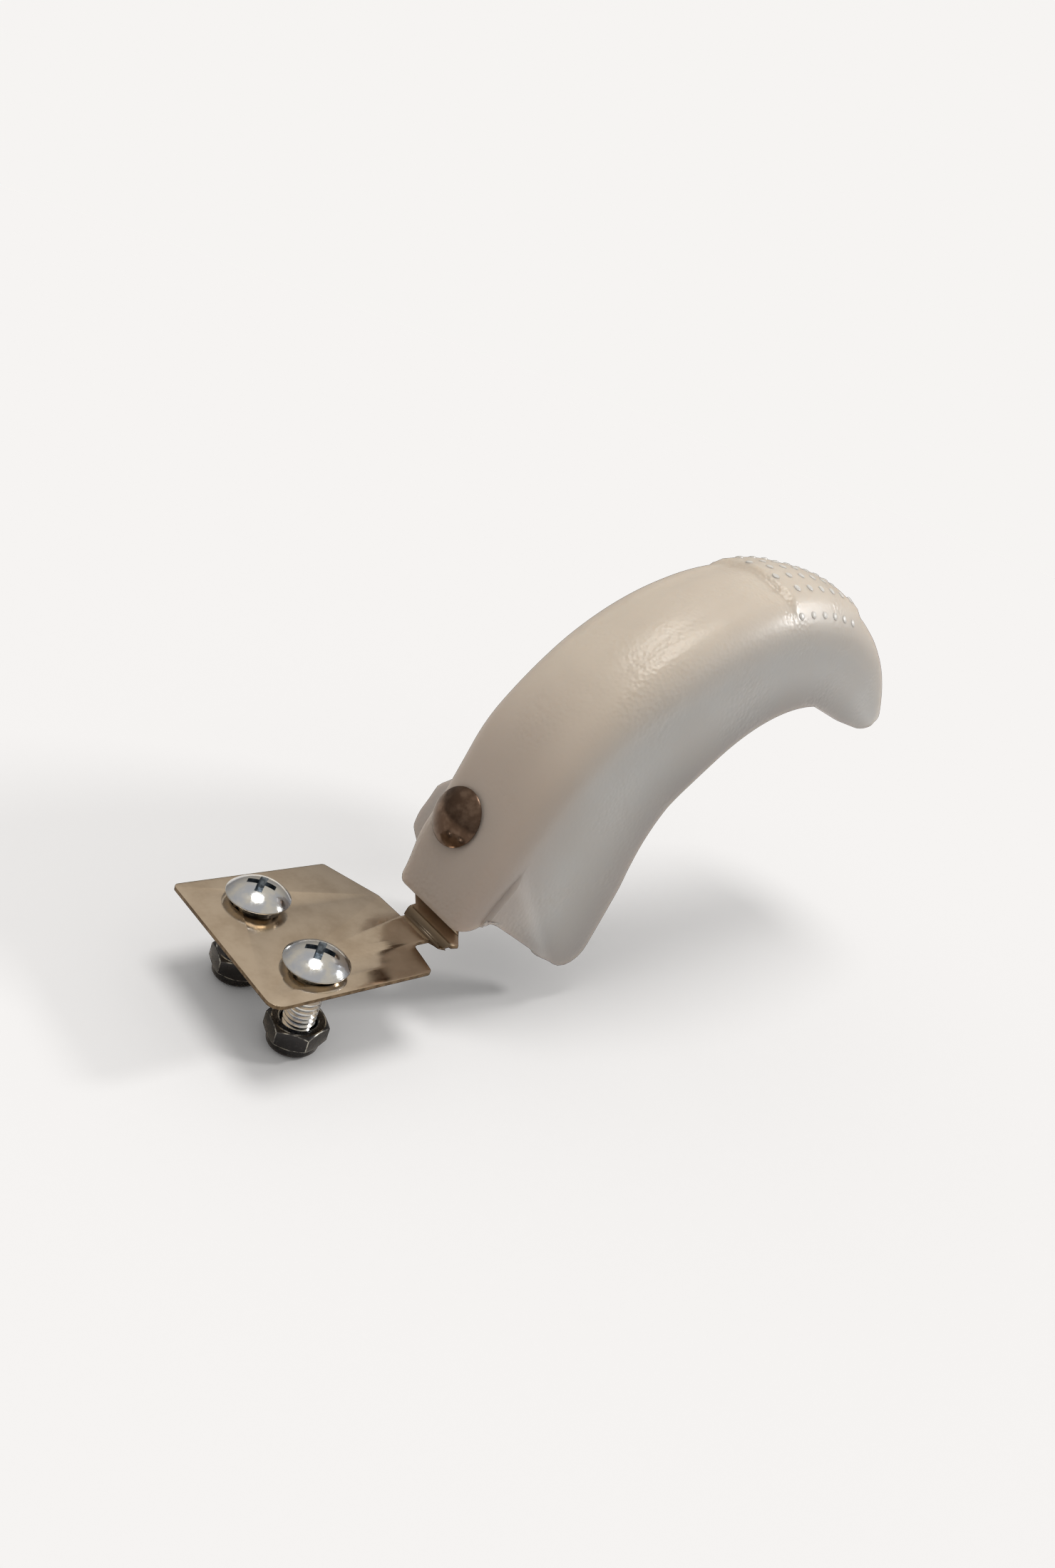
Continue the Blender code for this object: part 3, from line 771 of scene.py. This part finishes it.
def half_section(s, side, outline):
    """Points (x, offset from the middle plane, z, share of the way to the rim) of one half."""
    x, z, slope = line_point(s)
    width = table(HALF_WIDTH[side], s)
    corner = table(CORNER, s)
    crown = table(CROWN, s)
    points = []
    for i in range(CROWN_STEPS):
        sink = crown * (i / CROWN_STEPS) ** 2 - pad_height(s, 0.0)
        across = (width - corner) * i / CROWN_STEPS
        points.append((x + sink * math.sin(slope), across, z - sink * math.cos(slope), 0.0))
    rise = TONGUE_RISE[side] * max(0.0, 1.0 - s / RISE_END)
    for i in range(CORNER_STEPS):
        part = i / (CORNER_STEPS - 1)
        turn = 90.0 * part
        x, z, slope = line_point(s + rise * part ** 2)
        reach = corner + pad_height(s, turn)
        sink = crown + corner - reach * math.cos(math.radians(turn))
        across = width - corner + reach * math.sin(math.radians(turn))
        points.append(
            (x + sink * math.sin(slope), across, z - sink * math.cos(slope),
             CORNER_SHARE * part)
        )
    x, across, z, _ = points[-1]
    end_x, end_z = skirt_end(s, outline)
    depth = math.dist((x, z), (end_x, end_z))
    past = max(0.0, 1.0 - (line_length() - s) / TAIL_ROUND)
    lift = TAIL_RISE * (1.0 - math.sqrt(1.0 - past ** 2)) / depth
    end_x, end_z = end_x + (x - end_x) * lift, end_z + (z - end_z) * lift
    start = min(0.5, STEP_RUN[side] / depth)
    stops = spaced(0.0, start, STEP_STEPS) + spaced(start, 1.0, SKIRT_STEPS)
    for t in stops:
        settle = 1.0 - STEP_SETTLE[side] * ease((t - start) / (1.0 - start))
        out = table(SKIRT_STEP[side], s) * settle * ease(t / start) + FLARE * depth * t
        share = CORNER_SHARE + (1.0 - CORNER_SHARE) * t
        points.append((x + (end_x - x) * t, across + out, z + (end_z - z) * t, share))
    return points


def fender_sheet():
    """The fender's outer skin as a lofted sheet, with each point's way to the rim."""
    outline = skirt_outline()
    tail = line_length()
    stops = [0.0]
    for end, rows in (
        (TONGUE_LENGTH, 26), (PAD_START, 58), (PAD_START + PAD_EDGE, 5), (PAD_END - PAD_EDGE, 24),
        (PAD_END, 5), (tail - TAIL_ROUND, 22),
    ):
        stops += spaced(stops[-1], end, rows)
    # The rows crowd towards the tail, where its corners turn up.
    stops += [tail - TAIL_ROUND * (1.0 - t) ** 1.4 for t in spaced(0.0, 1.0, 8)]
    bm = bmesh.new()
    toward_rim = bm.verts.layers.float.new("toward_rim")
    bm.verts.layers.float.new("tread")
    wall = bm.verts.layers.deform.verify()
    rows = []
    for s in stops:
        right = half_section(s, "right", outline)
        left = half_section(s, "left", outline)
        row = [(x, FENDER_Y - offset, z, share) for x, offset, z, share in reversed(right)]
        row += [(x, FENDER_Y + offset, z, share) for x, offset, z, share in left[1:]]
        verts = []
        for x, y, z, share in row:
            vert = bm.verts.new((x, y, z))
            vert[toward_rim] = share
            thin = ease((share - 0.3) / 0.25) * (1.0 - ease(s / THIN_TO))
            vert[wall][0] = 1.0 - (1.0 - THIN_CORNER) * thin
            verts.append(vert)
        rows.append(verts)
    for one, two in zip(rows, rows[1:]):
        for i in range(len(one) - 1):
            bm.faces.new((one[i], two[i], two[i + 1], one[i + 1]))
    return bm


def tread_places(skin, pitch):
    """Where each tread bump sits on the skin, with the way it points."""
    room = (PAD_END - PAD_START - TREAD_FIRST - TREAD_LAST) / pitch
    places = []
    for j, across in enumerate(TREAD_ROWS):
        shift = 0.5 * (j % 2)    # every other row is set half a pitch back
        for i in range(int(room - shift) + 1):
            x, z, slope = line_point(PAD_START + TREAD_FIRST + (i + shift) * pitch)
            out = Vector((-math.sin(slope), 0.0, math.cos(slope)))
            start = Vector((x, FENDER_Y + across, z)) + out * TREAD_PROBE
            spot, normal, _, _ = skin.ray_cast(start, -out)
            if spot is not None:
                places.append((spot, normal if normal.dot(out) > 0.0 else -normal))
    return places


def add_bump(bm, tread, spot, normal, radius, height):
    """A low dome of several rings, with its foot just under the skin."""
    turn = normal.to_track_quat("Z", "X")
    rings = []
    for i in range(BUMP_RINGS):
        angle = math.radians(90.0 * i / BUMP_RINGS)
        reach = radius * math.cos(angle)
        up = height * math.sin(angle) - (BUMP_FOOT if i == 0 else 0.0)
        ring = []
        for j in range(BUMP_SIDES):
            x, y = polar((0.0, 0.0), reach, 360.0 * j / BUMP_SIDES)
            ring.append(bm.verts.new((spot + turn @ Vector((x, y, up))) * MM))
        rings.append(ring)
    top = bm.verts.new((spot + turn @ Vector((0.0, 0.0, height))) * MM)
    for j in range(BUMP_SIDES):
        k = (j + 1) % BUMP_SIDES
        for one, two in zip(rings, rings[1:]):
            bm.faces.new((one[j], one[k], two[k], two[j]))
        bm.faces.new((rings[-1][j], rings[-1][k], top))
    bm.faces.new(reversed(rings[0]))
    for vert in [top] + [v for ring in rings for v in ring]:
        vert[tread] = 1.0


def rivet_frame():
    """Matrix in metres with local Z pointing out of the tongue's face at the rivet."""
    x, z, slope = line_point(RIVET_S)
    outward = Vector((-math.sin(slope), 0.0, math.cos(slope)))
    sideways = Vector((0.0, 1.0, 0.0))
    matrix = Matrix((sideways.cross(outward), sideways, outward)).transposed().to_4x4()
    matrix.translation = Vector((x, RIVET_Y, z)) * MM
    return matrix


def dome(radius, height, base, steps):
    """Profile of a spherical cap that stands on base, from its top down to its rim."""
    sphere = (radius * radius + height * height) / (2.0 * height)
    edge = math.asin(min(1.0, radius / sphere))
    points = [(0.0, base + height)]
    for i in range(1, steps + 1):
        angle = edge * i / steps
        points.append((sphere * math.sin(angle), base + height - sphere * (1.0 - math.cos(angle))))
    return points


def leaf_line():
    """Side view of the leaf's upper face: a small joggle at the bend, then the leg."""
    slope = math.radians(TONGUE_SLOPE)
    inset = FENDER_WALL + GAP
    leg = [line_point(s)[:2] for s in LEG_STOPS]
    leg = [(x + inset * math.sin(slope), z - inset * math.cos(slope)) for x, z in leg]
    joggle = [(BEND_X + x, PLATE_TOP + z) for x, z in JOGGLE]
    lead = [(leg[0][0] + x, PLATE_TOP + z) for x, z in FOOT_LEAD]
    return joggle + lead + leg


def plate_outline():
    """Corners (x, y, radius) of the plate, with the neck's edge divided for the leaf."""
    neck_x = BEND_X - NECK_STRIP
    neck = [(neck_x, y, 0.0) for y in [NECK[0]] + spaced(NECK[0], NECK[1], LEAF_COLUMNS)]
    return rounded([
        (PLATE_FRONT, PLATE_LEFT, 1.0), (PLATE_FRONT, PLATE_RIGHT, 2.6),
        (20.7, PLATE_RIGHT, 1.0), (21.5, -13.4, 1.6), (22.2, NECK[0], 2.2), *neck,
        (25.3, NECK[1], 0.3), (24.9, 5.8, 2.0), (19.7, PLATE_LEFT, 0.8),
    ])


def bracket_sheet():
    """The upper face of the plate and the leaf as one open sheet."""
    curve = bpy.data.curves.new("plate_outline", "CURVE")
    curve.dimensions = "2D"
    curve.fill_mode = "BOTH"
    holes = [
        [polar((0.0, y), HOLE_RADIUS, 360.0 * i / 64) for i in range(64)] for y in screw_rows()
    ]
    for loop in [plate_outline()] + holes:
        spline = curve.splines.new("POLY")
        spline.points.add(len(loop) - 1)
        for point, (x, y) in zip(spline.points, loop):
            point.co = (x, y, 0.0, 1.0)
        spline.use_cyclic_u = True
    outline = linked("plate_outline", curve)
    depsgraph = bpy.context.evaluated_depsgraph_get()
    flat = bpy.data.meshes.new_from_object(outline.evaluated_get(depsgraph))
    bpy.data.objects.remove(outline, do_unlink=True)
    bm = bmesh.new()
    bm.from_mesh(flat)
    bmesh.ops.remove_doubles(bm, verts=bm.verts, dist=1e-4)
    for vert in bm.verts:
        vert.co.z = PLATE_TOP
    for face in bm.faces:
        if face.normal.z < 0.0:
            face.normal_flip()
    neck_x = BEND_X - NECK_STRIP
    row = sorted((v for v in bm.verts if v.co.x > neck_x - 1e-3), key=lambda v: v.co.y)
    edge = [bm.verts.new((BEND_X, v.co.y, PLATE_TOP)) for v in row]
    for j in range(LEAF_COLUMNS):
        bm.faces.new((row[j], edge[j], edge[j + 1], row[j + 1]))
    row = edge
    line = leaf_line()
    for i, (x, z) in enumerate(line):
        draw_in = LEG_ROUND[max(0, i - (len(line) - len(LEG_ROUND)))]
        right, left = LEG_RIGHT + draw_in, LEG_LEFT - draw_in
        if i < len(LEAF_RIGHT):
            right, left = LEAF_RIGHT[i], LEAF_LEFT[i]
        ys = [right] + spaced(right, left, LEAF_COLUMNS)
        fresh = [bm.verts.new((x, y, z)) for y in ys]
        for j in range(LEAF_COLUMNS):
            bm.faces.new((row[j], fresh[j], fresh[j + 1], row[j + 1]))
        row = fresh
    return bm


def screw_rows():
    """y of the two screws in mm, from their CAD nodes."""
    rows = []
    for side in ("left", "right"):
        low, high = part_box("screw_" + side)
        rows.append((low.y + high.y) / 2 / MM)
    return rows


def add_thread(bm, pitch):
    """A raised helical thread on the screw's core, fading out at both ends."""
    turns = (THREAD_TOP - THREAD_END) / pitch
    count = int(turns * THREAD_STEPS)
    half = 0.46 * pitch
    foot = THREAD_ROOT - THREAD_SINK
    rows = []
    for i in range(count + 1):
        fade = ease(min(i, count - i) / (THREAD_STEPS * THREAD_FADE))
        crest = THREAD_ROOT + (THREAD_CREST - THREAD_ROOT) * fade
        height = THREAD_TOP - i * pitch / THREAD_STEPS
        turn = 360.0 * i / THREAD_STEPS
        row = []
        for radius, up in ((foot, half), (crest, CREST_FLAT), (crest, -CREST_FLAT), (foot, -half)):
            x, y = polar((0.0, 0.0), radius, turn)
            row.append(bm.verts.new((x, y, height + up)))
        rows.append(row)
    for one, two in zip(rows, rows[1:]):
        for j in range(4):
            bm.faces.new((one[j], one[(j + 1) % 4], two[(j + 1) % 4], two[j]))
    bm.faces.new(rows[0])
    bm.faces.new(reversed(rows[-1]))


def recess_arm():
    """One tapered slot of the cross recess, downwards from the top of the head."""
    bm = bmesh.new()
    bmesh.ops.create_cube(bm, size=2.0)
    for vert in bm.verts:
        low = vert.co.z < 0.0
        vert.co.x *= RECESS_REACH * (0.45 if low else 1.0)
        vert.co.y *= RECESS_WIDTH / 2 * (0.8 if low else 1.0)
        vert.co.z = -RECESS_DEPTH if low else 1.0
    # The recess's faces take the second material, its painted shade.
    for face in bm.faces:
        face.material_index = 1
    return bm


def settings():
    return bpy.context.scene.fender_brake


def finished(obj, mat, body, slot, *nodes):
    """Give a piece its material and body, and let it stand for its CAD nodes.

    A piece with several materials has them already, and one that bends has no single body. The slot is not
    used.
    """
    if mat is not None:
        obj.data.materials.clear()
        obj.data.materials.append(mat)
    if body is not None:
        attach(obj, body)
    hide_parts(*nodes)


def refinish(node, mat):
    """Give a CAD node that stays a material and softened edges."""
    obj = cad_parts[node]
    obj.data.materials.clear()
    obj.data.materials.append(mat)
    soften(obj, 0.15 * MM)


class AddFender(bpy.types.Operator):
    """Moulded fender with its raised tread"""

    bl_idname = "fender_brake.add_fender"
    bl_label = "Fender"

    def execute(self, context):
        sizes = settings().fender
        sheet = fender_sheet()
        bmesh.ops.recalc_face_normals(sheet, faces=sheet.faces)
        skin = BVHTree.FromBMesh(sheet)
        places = tread_places(skin, sizes.bump_pitch / MM)
        obj = mesh_object("fender_shell", sheet)
        wall = obj.modifiers.new("wall", "SOLIDIFY")
        wall.thickness = sizes.wall
        wall.offset = -1.0
        wall.vertex_group = obj.vertex_groups.new(name="wall").name
        hole = mesh_object("rivet_hole", prism(RIVET_HOLE_RADIUS, -9.0, 4.0, 64))
        hole.matrix_world = rivet_frame()
        combine(obj, [hole])
        rims = soften(obj, 0.0, segments=3, angle=55.0, clamp=False)
        rims.offset_type = "PERCENT"
        rims.width_pct = sizes.rim_share
        apply_modifiers(obj)
        bm = bmesh.new()
        bm.from_mesh(obj.data)
        tread = bm.verts.layers.float["tread"]
        for spot, normal in places:
            add_bump(bm, tread, spot, normal, sizes.bump_radius / MM, sizes.bump_height / MM)
        bm.to_mesh(obj.data)
        bm.free()
        shade(obj)
        finished(obj, polypropylene(sizes), "brake", "fender_plastic", "fender")
        return {"FINISHED"}


class AddBracket(bpy.types.Operator):
    """Plate and leaf, bent from one piece of spring steel"""

    bl_idname = "fender_brake.add_bracket"
    bl_label = "Steel bracket"

    def execute(self, context):
        sizes = settings().steel
        obj = mesh_object("steel_bracket", bracket_sheet())
        sheet = obj.modifiers.new("sheet", "SOLIDIFY")
        sheet.thickness = sizes.thickness
        sheet.offset = -1.0
        sheet.use_even_offset = True
        sheet.material_offset_rim = 1
        obj.data.materials.append(temper_steel(sizes))
        obj.data.materials.append(sheared_steel())
        apply_modifiers(obj)
        hole = mesh_object("rivet_hole", prism(RIVET_HOLE_RADIUS, -9.0, 4.0, 64))
        hole.matrix_world = rivet_frame()
        combine(obj, [hole])
        soften(obj, sizes.edge_round, segments=2, angle=50.0)
        apply_modifiers(obj)
        start = Vector((BEND_X - 0.1, 0.0, 0.5)) * MM
        end = Vector((BEND_X + 1.3, 0.0, 3.0)) * MM
        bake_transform(obj, "mount", "brake", start=start, end=end)
        finished(obj, None, None, "spring_steel", "mounting_plate", "spring_leaf")
        return {"FINISHED"}


class AddRivet(bpy.types.Operator):
    """Domed rivet, and the washer behind the leaf"""

    bl_idname = "fender_brake.add_rivet"
    bl_label = "Rivet and washer"

    def execute(self, context):
        sizes = settings().fasteners
        back = -(FENDER_WALL + LEAF_THICK + WASHER_THICK + 3 * GAP)
        end = back - RIVET_TAIL_HEIGHT
        head = dome(RIVET_HEAD_RADIUS - 0.1, RIVET_HEAD_HEIGHT - 0.4, GAP + 0.4, 24)
        profile = head + [
            (RIVET_HEAD_RADIUS, GAP + 0.3), (RIVET_HEAD_RADIUS, GAP + 0.15),
            (RIVET_HEAD_RADIUS - 0.15, GAP), (RIVET_SHANK_RADIUS, GAP),
            (RIVET_SHANK_RADIUS, back), (RIVET_TAIL_RADIUS - 0.15, back),
            (RIVET_TAIL_RADIUS, back - 0.15), (RIVET_TAIL_RADIUS, back - 0.5),
            (RIVET_TAIL_RADIUS - 0.3, back - 0.9), (RIVET_TAIL_RADIUS * 0.6, end), (0.0, end),
        ]
        obj = turned_object("domed_rivet", profile)
        apply_modifiers(obj)
        obj.matrix_world = rivet_frame()
        finished(obj, bronzed_steel(sizes), "brake", "rivet_steel", "rivet")
        refinish("rivet_washer", bright_zinc(sizes))
        return {"FINISHED"}


class AddScrews(bpy.types.Operator):
    """Two pan head machine screws with a cross recess and a cut thread"""

    bl_idname = "fender_brake.add_screws"
    bl_label = "Machine screws"

    def execute(self, context):
        sizes = settings().fasteners
        zinc = bright_zinc(sizes)
        # Painted shade for the cross recess.
        recess_shade = recess_shade_zinc()
        seat = PLATE_TOP + GAP
        rim = seat + HEAD_RIM
        profile = dome(HEAD_RADIUS - 0.12, SCREW_TOP - rim - 0.06, rim + 0.06, 24) + [
            (HEAD_RADIUS - 0.03, rim - 0.02), (HEAD_RADIUS, rim - 0.1),
            (HEAD_RADIUS, rim - RIM_BAND + 0.1), (HEAD_RADIUS - 0.05, rim - RIM_BAND),
            (SEAT_RADIUS + 0.1, seat + 0.12), (SEAT_RADIUS - 0.1, seat), (THREAD_ROOT + 0.4, seat),
            (THREAD_ROOT, seat - 0.4), (THREAD_ROOT, SCREW_END + 0.35),
            (THREAD_ROOT - 0.35, SCREW_END), (0.0, SCREW_END),
        ]
        for side, y in zip(("left", "right"), screw_rows()):
            obj = turned_object("machine_screw_" + side, profile)
            obj.data.materials.append(zinc)
            obj.data.materials.append(recess_shade)
            apply_modifiers(obj)
            cutters = []
            for slot in range(2):
                arm = mesh_object("recess_%d" % slot, recess_arm())
                arm.data.materials.append(zinc)
                arm.data.materials.append(recess_shade)
                turn = Matrix.Rotation(math.radians(RECESS_TURN + 90.0 * slot), 4, "Z")
                arm.matrix_world = Matrix.Translation((0.0, 0.0, SCREW_TOP * MM)) @ turn
                cutters.append(arm)
            combine(obj, cutters)
            thread = bmesh.new()
            add_thread(thread, sizes.pitch / MM)
            bmesh.ops.recalc_face_normals(thread, faces=thread.faces)
            bmesh.ops.scale(thread, verts=thread.verts, vec=(MM, MM, MM))
            thread.from_mesh(obj.data)
            thread.to_mesh(obj.data)
            thread.free()
            shade(obj, 30.0)
            obj.location.y = y * MM
            finished(obj, None, "mount", "zinc", "screw_" + side)
        return {"FINISHED"}


class AddLockNuts(bpy.types.Operator):
    """Two hexagon lock nuts, with the nylon rings inside their collars"""

    bl_idname = "fender_brake.add_lock_nuts"
    bl_label = "Lock nuts"

    def execute(self, context):
        sizes = settings().fasteners
        black = black_zinc(sizes)
        # Painted highlight for the nuts' bevelled edges.
        wear_and_edge_highlight = edge_highlight_zinc()
        nylon = turned_nylon(sizes)
        corner = NUT_ACROSS_FLATS / math.sqrt(3.0)
        hex_low = NUT_LOW + COLLAR_HEIGHT
        bore = SCREW_RADIUS + GAP
        rim = NUT_ACROSS_FLATS / 2 - 0.2
        beyond = corner + 1.0
        slant = math.tan(math.radians(NUT_CHAMFER))
        collar = [
            (COLLAR_RADIUS - COLLAR_ROUND + COLLAR_ROUND * math.cos(math.radians(a)),
             NUT_LOW + COLLAR_ROUND - COLLAR_ROUND * math.sin(math.radians(a)))
            for a in (0.0, 22.5, 45.0, 67.5, 90.0)
        ]
        envelope = [
            (bore + 0.3, NUT_TOP), (rim, NUT_TOP), (beyond, NUT_TOP - (beyond - rim) * slant),
            (beyond, hex_low + (beyond - COLLAR_RADIUS) * slant), (COLLAR_RADIUS, hex_low),
            *collar, (bore, NUT_LOW), (bore, NUT_TOP - 0.3),
        ]
        groove_low = NUT_LOW + COLLAR_LIP
        for side, y in zip(("left", "right"), screw_rows()):
            name = "hex_lock_nut_" + side
            obj = mesh_object(name, prism(corner, NUT_LOW, NUT_TOP, 6))
            obj.matrix_world = Matrix.Rotation(math.radians(NUT_TURN), 4, "Z")
            lathe = turned_object(name + "_envelope", envelope)
            apply_modifiers(lathe)
            combine(obj, [lathe], "INTERSECT")
            groove = prism(RING_RADIUS + GAP, groove_low, groove_low + RING_THICK + 2 * GAP, 64)
            combine(obj, [mesh_object(name + "_groove", groove)])
            obj.data.materials.clear()
            obj.data.materials.append(black)
            obj.data.materials.append(wear_and_edge_highlight)
            # The bevel's faces take the second material, the painted edge highlight.
            soften(obj, 0.14 * MM, segments=2, angle=25.0).material = 1
            apply_modifiers(obj, 25.0)
            obj.location.y = y * MM
            finished(obj, None, "mount", "black_zinc", "lock_nut_" + side)
            refinish("nylon_ring_" + side, nylon)
        return {"FINISHED"}


class AddStage(bpy.types.Operator):
    """Pale floor and background, soft lights and the camera"""

    bl_idname = "fender_brake.add_stage"
    bl_label = "Stage"

    def execute(self, context):
        stage = settings().stage
        low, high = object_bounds()
        centre = (low + high) / 2
        add_floor(stage, low.z - 0.0002, centre)
        add_world(context.scene, stage)
        add_softbox("key_softbox", centre + Vector((-0.06, 0.02, 0.55)), centre, 0.26,
                    stage.key_power, "fffaf2")
        add_softbox("side_softbox", centre + Vector((0.36, -0.19, 0.28)), centre, 0.09,
                    stage.side_power, "ffffff")
        add_camera(context.scene)
        context.scene.view_settings.view_transform = "Standard"
        return {"FINISHED"}


def add_floor(stage, height, centre):
    """A disc of pale paper that shows only its shadows against the same pale background."""
    bm = bmesh.new()
    bmesh.ops.create_circle(bm, cap_ends=True, segments=96, radius=FLOOR_RADIUS)
    mesh = bpy.data.meshes.new("floor")
    bm.to_mesh(mesh)
    bm.free()
    floor = linked("floor", mesh)
    floor.location = (centre.x, centre.y, height)
    colour = (*stage.backdrop_colour, 1.0)
    floor.data.materials.append(new_material("matt_paper", Base_Color=colour, Roughness=0.95))
    floor.is_shadow_catcher = True
    floor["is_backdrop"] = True


def add_world(scene, stage):
    """A pale background, with a dimmer room for the pieces to mirror."""
    world = bpy.data.worlds.new("studio")
    world.use_nodes = True
    background = world.node_tree.nodes["Background"]
    place = add_node(world, "ShaderNodeTexCoord", output="Generated")
    up = add_node(world, "ShaderNodeSeparateXYZ", (place,), output="Z")
    room = layered(world, linear("8a8580"), (linear("cfc8be"), up, (-0.2, 0.9)))
    seen = add_node(world, "ShaderNodeLightPath", output="Is Camera Ray")
    pale = tuple(stage.backdrop_colour)
    colour = add_node(world, "ShaderNodeMix", {0: seen, 6: room, 7: pale}, **COLOURS)
    world.node_tree.links.new(colour, background.inputs["Color"])
    scene.world = world


def add_softbox(name, place, target, size, power, hex_colour):
    light = bpy.data.lights.new(name, "AREA")
    light.shape = "DISK"
    light.size = size
    light.energy = power
    light.color = linear(hex_colour)
    obj = linked(name, light)
    obj.location = place
    obj.rotation_mode = "QUATERNION"
    obj.rotation_quaternion = (target - place).to_track_quat("-Z", "Y")


def add_camera(scene):
    camera = bpy.data.cameras.new("camera")
    camera.lens = CAMERA_LENS
    camera.sensor_width = 36.0
    camera.clip_start = 0.01
    obj = linked("camera", camera)
    azimuth = math.radians(CAMERA_AZIMUTH)
    elevation = math.radians(CAMERA_ELEVATION)
    forward = Vector((
        -math.sin(azimuth) * math.cos(elevation), math.cos(azimuth) * math.cos(elevation),
        -math.sin(elevation),
    ))
    roll = Quaternion((0.0, 0.0, 1.0), math.radians(CAMERA_ROLL))
    obj.location = Vector(CAMERA_PLACE) * MM
    obj.rotation_mode = "QUATERNION"
    obj.rotation_quaternion = forward.to_track_quat("-Z", "Y") @ roll
    scene.camera = obj


PIECES = (AddBracket, AddFender, AddRivet, AddScrews, AddLockNuts, AddStage)


class FenderBrakePanel(bpy.types.Panel):
    """The pieces of the fender brake, in the order they are added"""

    bl_idname = "VIEW3D_PT_fender_brake"
    bl_label = "Fender Brake"
    bl_space_type = "VIEW_3D"
    bl_region_type = "UI"
    bl_category = "Fender Brake"

    def draw(self, context):
        column = self.layout.column()
        for piece in PIECES:
            column.operator(piece.bl_idname)
        for group in (settings().fender, settings().steel, settings().fasteners,
                      settings().stage):
            box = self.layout.box()
            for name in group.__annotations__:
                box.prop(group, name)


GROUPS = (FenderSettings, SteelSettings, FastenerSettings, StageSettings, FenderBrakeSettings)


def register():
    for cls in GROUPS + PIECES + (FenderBrakePanel,):
        bpy.utils.register_class(cls)
    bpy.types.Scene.fender_brake = bpy.props.PointerProperty(
        name="Fender brake", description="Sizes and colours of the fender brake",
        type=FenderBrakeSettings,
    )


def unregister():
    del bpy.types.Scene.fender_brake
    for cls in reversed(GROUPS + PIECES + (FenderBrakePanel,)):
        bpy.utils.unregister_class(cls)


def main():
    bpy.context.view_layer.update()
    register()
    for piece in PIECES:
        group, name = piece.bl_idname.split(".")
        getattr(getattr(bpy.ops, group), name)()


if __name__ == "__main__":
    main()
